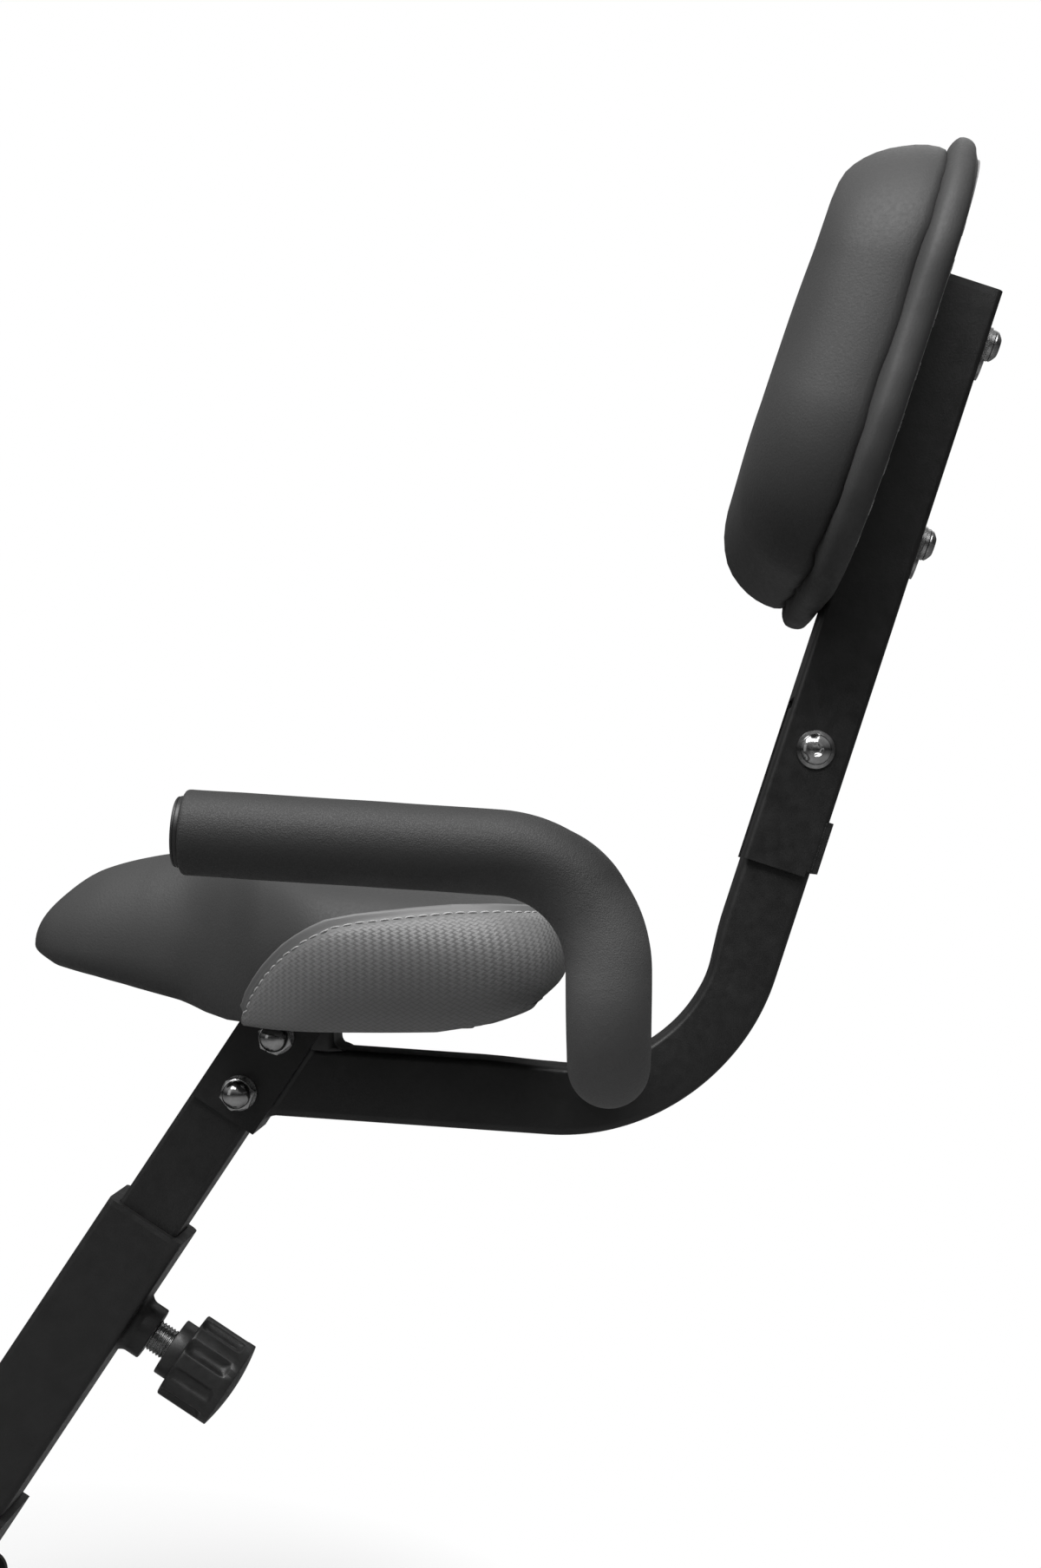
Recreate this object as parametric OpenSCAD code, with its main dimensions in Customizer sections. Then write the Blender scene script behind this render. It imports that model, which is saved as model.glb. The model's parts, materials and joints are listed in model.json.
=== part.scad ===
// Folding exercise seat unit: an adjustable seat post with a saddle, a
// foam-gripped handlebar and a padded backrest that folds forward.
// +X is rearwards, +Y is the far side, +Z is up. The origin is the centre of
// the frame pivot's bore, on the middle plane.

/* [Layout] */
// Lean of the seat post from vertical, in degrees
post_lean = 33.6; // [32:0.1:35]
// Distance of the frame pivot behind the post's centreline
pivot_offset = 31; // [31:0.5:34]
// Distance of the folding pivot behind the frame pivot
fold_x = 473.9; // [471:0.1:477]
// Height of the folding pivot above the frame pivot
fold_z = 471.4; // [469:0.1:474]
// Lean of the backrest from vertical, in degrees
back_lean = 18.1; // [17:0.1:19]
// Slope of the frame tube under the seat, in degrees
frame_slope = 4; // [3:0.1:5]

/* [Main tube] */
// Outer width of the square main tube
main_w = 48; // [46:0.5:48]
// Wall of the main tube
main_wall = 1.5; // [1.5:0.1:2]
// Top end of the main tube, along it from the frame pivot
main_top = 229; // [225:1:235]
// Length of main tube below the frame pivot
main_tail = 90; // [85:1:110]
// Position of the locking knob along the main tube
knob_at = 175.2; // [170:0.1:178]

/* [Post and channel] */
// Outer width of the square inner post
post_w = 37; // [35:0.5:37]
// Wall of the inner post
post_wall = 2; // [1.5:0.1:2.5]
// Lower end of the inner post, along it from the frame pivot
post_low = 45; // [42:1:50]
// Spacing of the height holes
hole_pitch = 25; // [25:1:25]
// Lower end of the seat channel, along the post
channel_low = 304.5; // [303:0.5:310]
// Height of the seat plate's lower face above the frame pivot
plate_z = 323.7; // [322:0.1:325]

/* [Frame tube] */
// Outer width of the square frame tube
frame_w = 38; // [37:0.5:38]
// Wall of the frame tube
frame_wall = 2; // [1.5:0.1:2.5]
// Bend radius of the frame tube's centreline
frame_bend = 105; // [95:1:115]
// Distance from the folding pivot down to the frame tube's corner
frame_drop = 210; // [205:1:215]
// Length of frame tube above the folding pivot
frame_above = 18; // [16:0.5:18]

/* [Seat] */
// Nose tip of the saddle behind the frame pivot
seat_nose_x = 36.5; // [34:0.5:40]
// Rear edge of the saddle behind the frame pivot
seat_rear_x = 336.5; // [334:0.5:338]
// Half width of the saddle at its widest
seat_half_w = 135; // [125:1:138]

/* [Handlebar] */
// Outer diameter of the handlebar tube
bar_d = 25.4; // [24:0.1:26]
// Outer diameter of the foam grips
grip_d = 41.5; // [38:0.5:42]
// Half spacing of the two grips
grip_y = 190; // [189:1:195]
// Bend radius from the grip into the leg
bar_bend = 56; // [50:1:57]
// Bend radius from the leg into the cross bar
bar_low_bend = 45; // [40:1:45]
// Position of the handlebar's legs behind the frame pivot
bar_x = 359.2; // [358:0.1:361]
// Height of the cross bar's centreline
bar_z = 308.4; // [308:0.1:309]
// Height of the corner between grip and leg
bar_corner_z = 411.3; // [409:0.1:414]
// Distance from the corner to the front end of the grip
grip_reach = 202.2; // [198:0.1:208]
// Rise of the grip towards its front end, in degrees
grip_rise = 3.7; // [3:0.1:4.5]

/* [Backrest] */
// Width of the back bracket
bracket_w = 46; // [45:0.5:47]
// Depth of the back bracket
bracket_d = 40; // [40:0.5:41]
// Wall of the back bracket
bracket_wall = 3; // [2.5:0.1:3]
// Top of the back bracket above the folding pivot
bracket_top = 270; // [268:1:275]
// Bottom of the back bracket below the folding pivot
bracket_bottom = 69; // [67:1:70]
// Half width of the back pad's edge roll
pad_half_w = 160; // [150:1:161]
// Bottom and top of the edge roll above the folding pivot
pad_span = [72, 327]; // [60:1:335]
// Thickness of the back pad in front of the bracket
pad_depth = 67; // [62:1:68]

/* [Fasteners] */
// Diameter of the large bolts
bolt_d = 10; // [10:1:10]
// Diameter of the small seat bolts
seat_bolt_d = 6; // [6:1:6]
// Running clearance on radius where a shaft turns in a hole
running_gap = 0.05; // [0.03:0.01:0.08]
// Radius of the frame pivot's bore
frame_bore_r = 6.1; // [6:0.05:6.2]

/* [Hidden] */
$fn = 48;
soft_fn = 32;
SIDES = [-1, 1];
big = 600;

paint = "#1c1c1e";
zinc = "#b8babc";
vinyl = "#4e4e50";
plastic = "#202022";
foam = "#434345";
nylon = "#e4e2dc";
ply = "#b08d5e";

bolt_r = bolt_d / 2;
hole_r = bolt_r + 0.5;

// Post coordinates: x runs rearwards from the centreline, z along the post.
module post_frame() {
    rotate([0, post_lean, 0]) translate([-pivot_offset, 0, 0]) children();
}

// Back coordinates: x runs rearwards from the folding pivot, z up the bracket.
module back_frame() {
    translate([fold_x, 0, fold_z]) rotate([0, back_lean, 0]) children();
}

// Turns +Z onto -X, so that an outline is extruded towards the front.
module forwards() {
    rotate([0, -90, 0]) children();
}

// Turns +Z onto +X, so that a shaft points rearwards.
module rearwards() {
    rotate([0, 90, 0]) children();
}

// Turns +Z onto the near (-1) or far (1) side.
module sideways(side) {
    rotate([-90 * side, 0, 0]) children();
}

module rounded_rect(w, h, r) {
    square([w - 2 * r, h], center = true);
    square([w, h - 2 * r], center = true);
    for (x = SIDES, y = SIDES) translate([x * (w / 2 - r), y * (h / 2 - r)]) circle(r);
}

module square_ring(w, wall, r) {
    difference() {
        rounded_rect(w, w, r);
        rounded_rect(w - 2 * wall, w - 2 * wall, max(r - wall, 0.5));
    }
}

module ring(outer_r, inner_r, h) {
    difference() {
        cylinder(h = h, r = outer_r);
        translate([0, 0, -1]) cylinder(h = h + 2, r = inner_r);
    }
}

module hexagon(across_flats, h) {
    cylinder(h = h, d = across_flats / cos(30), $fn = 6);
}

// A domed head: a slice of a ball of the given base radius and height.
module dome(base_r, h) {
    ball_r = (base_r * base_r + h * h) / (2 * h);
    rotate_extrude() intersection() {
        translate([0, h - ball_r]) circle(ball_r, $fn = 240);
        square([base_r + 1, h]);
    }
}

// ---------------------------------------------------------------- main tube

bush_len = 38;
bush_flange = 3;
bush_gap = 0.35;
tail_holes = [-30, -65];
tail_hole_r = 4.25;
nut_len = 13.2;
stud_r = 9;

module main_tube() {
    color(paint) post_frame() difference() {
        translate([0, 0, -main_tail]) linear_extrude(main_top + main_tail) square_ring(main_w, main_wall, 4);
        translate([0, 0, knob_at]) rearwards() cylinder(h = main_w, r = hole_r);
        for (z = tail_holes) translate([0, -main_w, z]) sideways(1)
            cylinder(h = 2 * main_w, r = tail_hole_r);
        translate([pivot_offset, -main_w, 0]) sideways(1) cylinder(h = 2 * main_w, r = sleeve_r + 0.03);
    }
}

module post_bush() {
    sleeve_w = main_w - 2 * main_wall - 0.2;
    opening = post_w + 2 * bush_gap;
    color(plastic) post_frame() difference() {
        union() {
            translate([0, 0, main_top - bush_len]) linear_extrude(bush_len)
                rounded_rect(sleeve_w, sleeve_w, 2.5);
            translate([0, 0, main_top]) linear_extrude(bush_flange) rounded_rect(main_w, main_w, 4);
        }
        translate([0, 0, main_top - bush_len - 1]) linear_extrude(bush_len + bush_flange + 2)
            rounded_rect(opening, opening, 3);
    }
}

ear_wall = 4;
sleeve_r = 8.5;
sleeve_half = 31;
bracket_high = 49;

// One cheek of the pivot bracket: round about the pivot, straight up the tube.
module bracket_cheek() {
    translate([pivot_offset, 0]) circle(12);
    translate([0, -12]) square([pivot_offset, 24]);
    square([main_w / 2 + ear_wall, bracket_high]);
}

module pivot_bracket() {
    color(paint) post_frame() {
        difference() {
            union() {
                for (side = SIDES) translate([0, side * (main_w + ear_wall) / 2 + ear_wall / 2, 0])
                    rotate([90, 0, 0]) linear_extrude(ear_wall) bracket_cheek();
                translate([main_w / 2, -main_w / 2, 18]) cube([ear_wall, main_w, bracket_high - 18]);
            }
            translate([pivot_offset, -big / 2, 0]) sideways(1) cylinder(h = big, r = sleeve_r);
        }
    }
}

module pivot_sleeve() {
    color(zinc) translate([0, -sleeve_half, 0]) sideways(1) ring(sleeve_r, frame_bore_r, 2 * sleeve_half);
}

module main_tube_plug() {
    inside = main_w - 2 * main_wall - 0.2;
    color(plastic) post_frame() {
        translate([0, 0, -main_tail]) linear_extrude(10) difference() {
            rounded_rect(inside, inside, 2.5);
            rounded_rect(inside - 5, inside - 5, 1.5);
        }
        translate([0, 0, -main_tail - 3]) linear_extrude(3) rounded_rect(main_w, main_w, 4);
    }
}

module knob_weld_nut() {
    base_x = main_w / 2;
    color(paint) post_frame() translate([base_x, 0, knob_at]) rearwards() difference() {
        union() {
            cylinder(h = nut_len, r = 15.5);
            cylinder(h = 4, r1 = 19, r2 = 15.5);
        }
        translate([0, 0, -1]) cylinder(h = nut_len + 2, r = stud_r + running_gap);
    }
}

// --------------------------------------------------------- locking pin, knob

// The knob is drawn unscrewed, with the pin clear of the post.
pin_tip_x = post_w / 2 + 0.8;
pin_r = 5;
pin_head_x = 60;
pin_head_r = 7.5;
pin_head_len = 3;
stud_x = 32.5;
collar_x = 49;
collar_r = 16.8;
grip_x = 57;
grip_end_x = 89.5;
grip_r = 25.2;
flutes = 9;

module lock_pin() {
    color(zinc) post_frame() translate([0, 0, knob_at]) rearwards() {
        translate([0, 0, pin_tip_x]) cylinder(h = 1.2, r1 = pin_r - 1.2, r2 = pin_r);
        translate([0, 0, pin_tip_x + 1.2]) cylinder(h = pin_head_x - pin_tip_x - 1.2, r = pin_r);
        translate([0, 0, pin_head_x]) cylinder(h = pin_head_len, r = pin_head_r);
    }
}

module knob_stud() {
    color(zinc) post_frame() translate([0, 0, knob_at]) rearwards() translate([0, 0, stud_x])
        ring(stud_r, pin_r + running_gap, pin_head_x - 0.3 - stud_x);
}

// Round body with hollow flutes between its ribs.
module fluted_outline() {
    difference() {
        circle(grip_r);
        for (i = [0 : flutes - 1]) rotate(i * 360 / flutes) translate([grip_r + 3.2, 0]) circle(6);
    }
}

module knob_grip() {
    color(plastic) post_frame() translate([0, 0, knob_at]) rearwards() difference() {
        union() {
            translate([0, 0, collar_x]) cylinder(h = grip_x - collar_x, r = collar_r);
            translate([0, 0, grip_x]) linear_extrude(grip_end_x - grip_x) fluted_outline();
        }
        translate([0, 0, collar_x - 1]) cylinder(h = pin_head_x - 0.3 - collar_x + 1, r = stud_r);
        translate([0, 0, pin_head_x - 0.3]) cylinder(h = pin_head_len + 0.6, r = pin_head_r + 0.4);
    }
}

module knob_cap() {
    color(plastic) post_frame() translate([grip_end_x, 0, knob_at]) rearwards() dome(18.5, 5);
}

// ------------------------------------------------------ post, channel, plate

bolt_x = 4;
bolt_along = [319.9, 357.3];
channel_wall = 3.5;
channel_half = 22.5;
web_x = 23;
plate_t = 4;
plate_x = [158, 294];
plate_half = 45;
base_t = 12;

module below_plate(gap) {
    intersection() {
        post_frame() children();
        translate([-big, -big, -big]) cube([2 * big, 2 * big, big + plate_z - gap]);
    }
}

module carriage_holes(r) {
    for (z = bolt_along) translate([bolt_x, -big / 2, z]) sideways(1) cylinder(h = big, r = r);
}

module inner_post() {
    hole_count = 7;
    first_hole = knob_at - 4 * hole_pitch;
    color(paint) below_plate(2) difference() {
        translate([0, 0, post_low]) linear_extrude(380 - post_low) square_ring(post_w, post_wall, 3);
        for (i = [0 : hole_count - 1]) translate([0, 0, first_hole + i * hole_pitch])
            rearwards() cylinder(h = post_w, r = hole_r);
        carriage_holes(hole_r);
    }
}

module inner_post_plug() {
    inside = post_w - 2 * post_wall - 0.1;
    guide = main_w - 2 * main_wall - 0.7;
    color(nylon) post_frame() {
        translate([0, 0, post_low]) linear_extrude(14) rounded_rect(inside, inside, 1.5);
        translate([0, 0, post_low - 4]) linear_extrude(4) rounded_rect(guide, guide, 2.5);
    }
}

module seat_channel() {
    front_x = 1 - post_w / 2;
    color(paint) below_plate(0) difference() {
        translate([front_x, -channel_half, channel_low]) cube([web_x - front_x, 2 * channel_half, 90]);
        translate([front_x - 1, -channel_half + channel_wall, channel_low - 1])
            cube([web_x - channel_wall - front_x + 1, 2 * (channel_half - channel_wall), 92]);
        carriage_holes(hole_r);
    }
}

module carriage_bolts() {
    head_y = channel_half + 2;
    color(zinc) post_frame() for (z = bolt_along) {
        translate([bolt_x, head_y, z]) sideways(1) hexagon(16, 6.4);
        translate([bolt_x, head_y, z]) sideways(-1) cylinder(h = 2 * head_y + 9, r = bolt_r);
    }
}

module carriage_washers() {
    color(zinc) post_frame() for (z = bolt_along, side = SIDES)
        translate([bolt_x, side * channel_half, z]) sideways(side) ring(9.8, bolt_r, 2);
}

module carriage_acorn_nuts() {
    nut_y = channel_half + 2;
    color(zinc) post_frame() for (z = bolt_along) translate([bolt_x, -nut_y, z]) sideways(-1) difference() {
        union() {
            hexagon(17, 7);
            translate([0, 0, 7]) cylinder(h = 2, r = 7.8);
            translate([0, 0, 9]) dome(7.8, 6.5);
        }
        translate([0, 0, -1]) cylinder(h = 10, r = bolt_r);
    }
}

seat_bolt_x = [205, 280];
seat_bolt_y = 32;

module at_seat_bolts() {
    for (x = seat_bolt_x, side = SIDES) translate([x, side * seat_bolt_y, plate_z]) children();
}

module seat_plate() {
    plate_len = plate_x[1] - plate_x[0];
    color(paint) difference() {
        translate([plate_x[0] + plate_len / 2, 0, plate_z]) linear_extrude(plate_t)
            rounded_rect(plate_len, 2 * plate_half, 12);
        at_seat_bolts() translate([0, 0, -1]) cylinder(h = plate_t + 2, r = seat_bolt_d / 2 + 0.5);
    }
}

module seat_bolts() {
    color(zinc) at_seat_bolts() {
        translate([0, 0, -5.6]) hexagon(10, 4);
        translate([0, 0, -1.6]) cylinder(h = plate_t + base_t, r = seat_bolt_d / 2);
    }
}

module seat_washers() {
    color(zinc) at_seat_bolts() translate([0, 0, -1.6]) ring(6, seat_bolt_d / 2, 1.6);
}

module seat_inserts() {
    color(zinc) at_seat_bolts() translate([0, 0, plate_t + 2]) ring(5, seat_bolt_d / 2, base_t - 2);
}

// -------------------------------------------------------------- frame tube

turn = 90 - back_lean + frame_slope;
bend_tangent = frame_bend * tan(turn / 2);
leg_len = frame_drop - bend_tangent;
run_len = 170;

// The bent frame tube's route, filled, for a square section.
module frame_path(w, r, above) {
    translate([0, 0, -leg_len]) linear_extrude(leg_len + above) rounded_rect(w, w, r);
    translate([-frame_bend, 0, -leg_len]) {
        rotate([-90, 0, 0]) rotate_extrude(angle = turn) translate([frame_bend, 0]) rounded_rect(w, w, r);
        rotate([0, turn, 0]) translate([frame_bend, 0, -run_len]) linear_extrude(run_len)
            rounded_rect(w, w, r);
    }
}

module frame_tube() {
    color(paint) difference() {
        back_frame() difference() {
            frame_path(frame_w, 4, frame_above);
            frame_path(frame_w - 2 * frame_wall, 2, frame_above + 1);
        }
        post_frame() translate([web_x - big, -big / 2, 0]) cube([big, big, big]);
        back_frame() translate([0, -big / 2, 0]) sideways(1) cylinder(h = big, r = 8);
        translate([bar_x, -big / 2, bar_z]) sideways(1) cylinder(h = big, r = bar_d / 2);
    }
}

module frame_tube_plug() {
    inside = frame_w - 2 * frame_wall - 0.1;
    color(plastic) back_frame() {
        translate([0, 0, frame_above]) linear_extrude(2) rounded_rect(frame_w, frame_w, 4);
        translate([0, 0, frame_above - 8]) linear_extrude(8) rounded_rect(inside, inside, 2);
    }
}

// ------------------------------------------------------------------- saddle

// Half width, top height and underside height against distance from the nose
// tip. The underside is level between the ramp under the nose and the raised rear end.
width_at = [[0, 6], [4, 17], [14, 30], [34, 41], [70, 50], [100, 60], [125, 82], [150, 110],
    [175, 128], [205, seat_half_w], [245, 134], [270, 129], [286, 119], [295, 106], [300, 84]];
top_at = [[0, 368], [2, 373], [10, 384], [20, 393], [34, 402.5], [49, 408.5], [64, 412], [76, 414.5],
    [101, 415.5], [126, 412], [150, 402.5], [175, 398], [224, 395], [273, 393], [290, 388], [300, 376]];
under_at = [[0, 360], [12, 354.5], [34, 350], [60, 343.5], [88, 337], [105, 331.5], [118, 327.7],
    [258, 327.7], [268, 330.5], [286, 337.5], [300, 347]];
seat_len = seat_rear_x - seat_nose_x;
stations = 48;

function station_x(i) = seat_len * (1 - cos(180 * i / stations)) / 2;
function power(v, n) = sign(v) * pow(abs(v), n);

module seat_base() {
    rim = 10;
    band_x = [for (i = [1 : stations - 1]) let (x = station_x(i)) if (x > rim && x < seat_len - rim) x];
    near = [for (x = band_x) [x + seat_nose_x, -max(lookup(x, width_at) - rim, 2)]];
    far = [for (i = [len(band_x) - 1 : -1 : 0]) [near[i][0], -near[i][1]]];
    side = concat([for (p = under_at) [p[0] + seat_nose_x, p[1]]],
        [for (i = [len(under_at) - 1 : -1 : 0]) [under_at[i][0] + seat_nose_x, under_at[i][1] + base_t]]);
    color(plastic) difference() {
        intersection() {
            translate([0, 0, plate_z]) linear_extrude(80) polygon(concat(near, far));
            translate([0, big / 2, 0]) rotate([90, 0, 0]) linear_extrude(big) polygon(side);
        }
        at_seat_bolts() cylinder(h = plate_t + base_t + 2, r = 5);
    }
}

// One cross section of the cushion, from the near rim over the top.
cushion_points = 24;
cushion_gap = 0.35;
function cushion_section(x) =
    let (w = lookup(x, width_at), low = lookup(x, under_at) + base_t + cushion_gap,
        high = max(lookup(x, top_at), low + 4))
    concat([for (j = [0 : cushion_points]) let (a = 180 * j / cushion_points)
        [x + seat_nose_x, -w * power(cos(a), 0.7), low + (high - low) * power(sin(a), 0.6)]]);

module seat_cushion() {
    n = cushion_points + 1;
    rows = [for (i = [0 : stations]) cushion_section(station_x(i))];
    points = [for (row = rows, p = row) p];
    skin = [for (i = [0 : stations - 1], j = [0 : n - 1]) let (k = (j + 1) % n)
        [i * n + j, i * n + k, (i + 1) * n + k, (i + 1) * n + j]];
    triangles = [for (q = skin, half = [0, 1]) half == 0 ? [q[0], q[1], q[2]] : [q[0], q[2], q[3]]];
    front_face = [for (j = [n - 1 : -1 : 0]) j];
    rear_face = [for (j = [0 : n - 1]) stations * n + j];
    color(vinyl) polyhedron(points, concat(triangles, [front_face], [rear_face]));
}

// ---------------------------------------------------------------- handlebar

bar_wall = 1.5;
bar_turn = 90 - grip_rise;
bar_tangent = bar_bend * tan(bar_turn / 2);
leg_top_z = bar_corner_z - bar_tangent;
bar_leg = leg_top_z - bar_z - bar_low_bend;
foam_end_y = 120;

// Draws its children on the far side, or mirrored on the near side.
module on_side(side) {
    if (side < 0) mirror([0, 1, 0]) children();
    else children();
}

// One half of the handlebar's route as a solid rod, from the grip's front end,
// lengthened by extra, to the distance end_y from the middle plane. Each
// stretch starts where the leg's top, then its foot, is the local origin.
module bar_route(side, r, extra, end_y) {
    on_side(side) translate([bar_x, grip_y, leg_top_z]) {
        translate([-bar_bend, 0, 0]) {
            rotate([90, 0, 0]) rotate_extrude(angle = bar_turn) translate([bar_bend, 0]) circle(r);
            rotate([0, -bar_turn, 0]) translate([bar_bend, 0, 0])
                cylinder(h = grip_reach - bar_tangent + extra, r = r);
        }
        translate([0, 0, -bar_leg]) {
            cylinder(h = bar_leg, r = r);
            translate([0, -bar_low_bend, 0]) rotate([0, -90, 0]) rotate([0, 0, 90])
                rotate_extrude(angle = 90) translate([bar_low_bend, 0]) circle(r);
            translate([0, -bar_low_bend, -bar_low_bend]) sideways(-1)
                cylinder(h = grip_y - bar_low_bend - end_y, r = r);
        }
    }
}

module handlebar() {
    color(paint) difference() {
        for (side = SIDES) bar_route(side, bar_d / 2, 0, 0);
        for (side = SIDES) bar_route(side, bar_d / 2 - bar_wall, 1, 0);
    }
}

module grip(side) {
    color(foam) difference() {
        bar_route(side, grip_d / 2, 0, foam_end_y);
        bar_route(side, bar_d / 2, 1, foam_end_y - 1);
    }
}

module grip_left() {
    grip(-1);
}

module grip_right() {
    grip(1);
}

module grip_cap(side) {
    cap_r = 17.2;
    plug_r = bar_d / 2 - bar_wall - 0.05;
    color(plastic) translate([bar_x, side * grip_y, bar_corner_z]) rotate([0, -90 + grip_rise, 0])
        translate([0, 0, grip_reach]) {
            cylinder(h = 3.6, r = cap_r);
            translate([0, 0, 3.6]) dome(cap_r, 1.6);
            translate([0, 0, -15]) cylinder(h = 15, r = plug_r);
        }
}

module grip_cap_left() {
    grip_cap(-1);
}

module grip_cap_right() {
    grip_cap(1);
}

// ----------------------------------------------------------- folding pivot

bush_in = 9;
bush_flange_t = 0.6;
cheek_y = bracket_w / 2;

module pivot_bushes() {
    color(nylon) back_frame() for (side = SIDES) translate([0, side * bush_in, 0]) sideways(side) {
        ring(8, bolt_r + running_gap, frame_w / 2 - bush_in);
        translate([0, 0, frame_w / 2 - bush_in]) ring(12, bolt_r + running_gap, bush_flange_t);
    }
}

module pivot_spacer() {
    color(zinc) back_frame() translate([0, -bush_in, 0]) sideways(1)
        ring(7.5, bolt_r + running_gap, 2 * bush_in);
}

module pivot_bolt() {
    head_r = 10.9;
    color(zinc) back_frame() translate([0, -cheek_y, 0]) sideways(-1) difference() {
        union() {
            cylinder(h = 1.6, r = head_r);
            translate([0, 0, 1.6]) cylinder(h = 1.4, r1 = 8.6, r2 = 8.2);
            translate([0, 0, 3]) dome(8.2, 2.6);
            translate([0, 0, -bracket_w - 12]) cylinder(h = bracket_w + 12, r = bolt_r);
        }
        translate([0, 0, 2.4]) hexagon(6, 4);
    }
}

module pivot_washer() {
    color(zinc) back_frame() translate([0, cheek_y, 0]) sideways(1) ring(10, bolt_r, 2);
}

module pivot_nut() {
    color(zinc) back_frame() translate([0, cheek_y + 2, 0]) sideways(1) difference() {
        union() {
            hexagon(17, 7.5);
            translate([0, 0, 7.5]) cylinder(h = 2.5, r = 7.2);
        }
        translate([0, 0, -1]) cylinder(h = 12, r = bolt_r);
    }
}

// ---------------------------------------------------------------- backrest

front_wall_low = 25;
rear_wall_low = 30;
stop_low = -65.5;
stop_high = -36;
stop_front = frame_w / 2 + 0.3;
stop_t = 3;
back_bolt_z = [131, 249.2];
pad_rear = -bracket_d / 2;

module at_back_bolts() {
    for (z = back_bolt_z) translate([0, 0, z]) children();
}

module back_bracket() {
    half_d = bracket_d / 2;
    color(paint) back_frame() difference() {
        translate([0, 0, -bracket_bottom]) linear_extrude(bracket_top + bracket_bottom) difference() {
            rounded_rect(bracket_d, bracket_w, 3);
            rounded_rect(bracket_d - 2 * bracket_wall, bracket_w - 2 * bracket_wall, 0.8);
        }
        translate([-half_d - 1, -cheek_y + bracket_wall, -bracket_bottom - 1])
            cube([half_d + 1, bracket_w - 2 * bracket_wall, bracket_bottom + front_wall_low + 1]);
        translate([0, -cheek_y + bracket_wall, -bracket_bottom - 1])
            cube([half_d + 1, bracket_w - 2 * bracket_wall, bracket_bottom + rear_wall_low + 1]);
        translate([stop_front, -cheek_y - 1, stop_low]) cube([half_d, bracket_w + 2, stop_high - stop_low]);
        translate([half_d - 4, -cheek_y - 1, -bracket_bottom - 1])
            cube([half_d, bracket_w + 2, 1 + bracket_bottom + stop_low]);
        translate([0, -bracket_w, 0]) sideways(1) cylinder(h = 2 * bracket_w, r = bolt_r);
        at_back_bolts() translate([-bracket_d, 0, 0]) rearwards()
            cylinder(h = 2 * bracket_d, r = bolt_r + 0.4);
    }
}

module stop_plate() {
    color(paint) back_frame() translate([stop_front, -cheek_y, stop_low])
        cube([stop_t, bracket_w, stop_high - stop_low]);
}

module back_bracket_cap() {
    inner_d = bracket_d - 2 * bracket_wall - 0.1;
    inner_w = bracket_w - 2 * bracket_wall - 0.1;
    color(plastic) back_frame() {
        translate([0, 0, bracket_top]) linear_extrude(4) rounded_rect(bracket_d, bracket_w, 3);
        translate([0, 0, bracket_top - 7]) linear_extrude(7) difference() {
            rounded_rect(inner_d, inner_w, 0.8);
            rounded_rect(inner_d - 4, inner_w - 4, 0.6);
        }
    }
}

plate_washer_t = 3;
washer_reach = 11;
spring_washer_t = 2.5;
head_x = bracket_d / 2 + plate_washer_t + spring_washer_t;

// A rounded head with a hexagon socket.
module button_head() {
    difference() {
        union() {
            cylinder(h = 1, r = 8.75);
            translate([0, 0, 1]) dome(8.75, 4.2);
        }
        translate([0, 0, 2.2]) hexagon(6, 4);
    }
}

module back_bolts() {
    color(zinc) back_frame() at_back_bolts() {
        translate([head_x, 0, 0]) rearwards() button_head();
        translate([head_x, 0, 0]) forwards() cylinder(h = head_x - pad_rear + 12, r = bolt_r);
    }
}

module back_spring_washers() {
    color(zinc) back_frame() at_back_bolts() translate([bracket_d / 2 + plate_washer_t, 0, 0]) rearwards()
        ring(9, bolt_r, spring_washer_t);
}

// An obround washer whose long end points down to the folding pivot.
module back_plate_washers() {
    color(zinc) back_frame() at_back_bolts() translate([bracket_d / 2, 0, 0]) rearwards() difference() {
        union() {
            cylinder(h = plate_washer_t, r = 10);
            translate([washer_reach, 0, 0]) cylinder(h = plate_washer_t, r = 10);
            translate([0, -10, 0]) cube([washer_reach, 20, plate_washer_t]);
        }
        translate([0, 0, -1]) cylinder(h = plate_washer_t + 2, r = bolt_r);
    }
}

board_t = 12;
roll_t = 16;
roll_out = 10;
pad_mid = (pad_span[0] + pad_span[1]) / 2;
pad_h = pad_span[1] - pad_span[0];
pad_corner = 92;

// The pad's outline, drawn in by the inset, with up along x and width along y.
module pad_outline(inset) {
    translate([pad_mid, 0]) rounded_rect(pad_h - 2 * inset, 2 * (pad_half_w - inset), pad_corner - inset);
}

module back_board() {
    color(ply) back_frame() difference() {
        translate([pad_rear, 0, 0]) forwards() linear_extrude(board_t) pad_outline(roll_out);
        at_back_bolts() translate([-bracket_d, 0, 0]) rearwards() cylinder(h = bracket_d, r = 7);
    }
}

module back_t_nuts() {
    color(zinc) back_frame() at_back_bolts() translate([pad_rear, 0, 0]) forwards() ring(7, bolt_r, board_t);
}

// Slices of the cushion: depth in front of the bracket, and inset all round.
cushion_slices = [[board_t, 9], [40, 12], [58, 20], [pad_depth - 0.5, 42]];

module back_cushion() {
    color(vinyl) back_frame() translate([pad_rear, 0, 0]) forwards() {
        hull() for (slice = cushion_slices) translate([0, 0, slice[0]]) linear_extrude(0.5)
            pad_outline(slice[1], $fn = soft_fn);
        translate([0, 0, 0.5]) linear_extrude(roll_t) difference() {
            pad_outline(0);
            pad_outline(roll_out);
        }
    }
}

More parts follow.
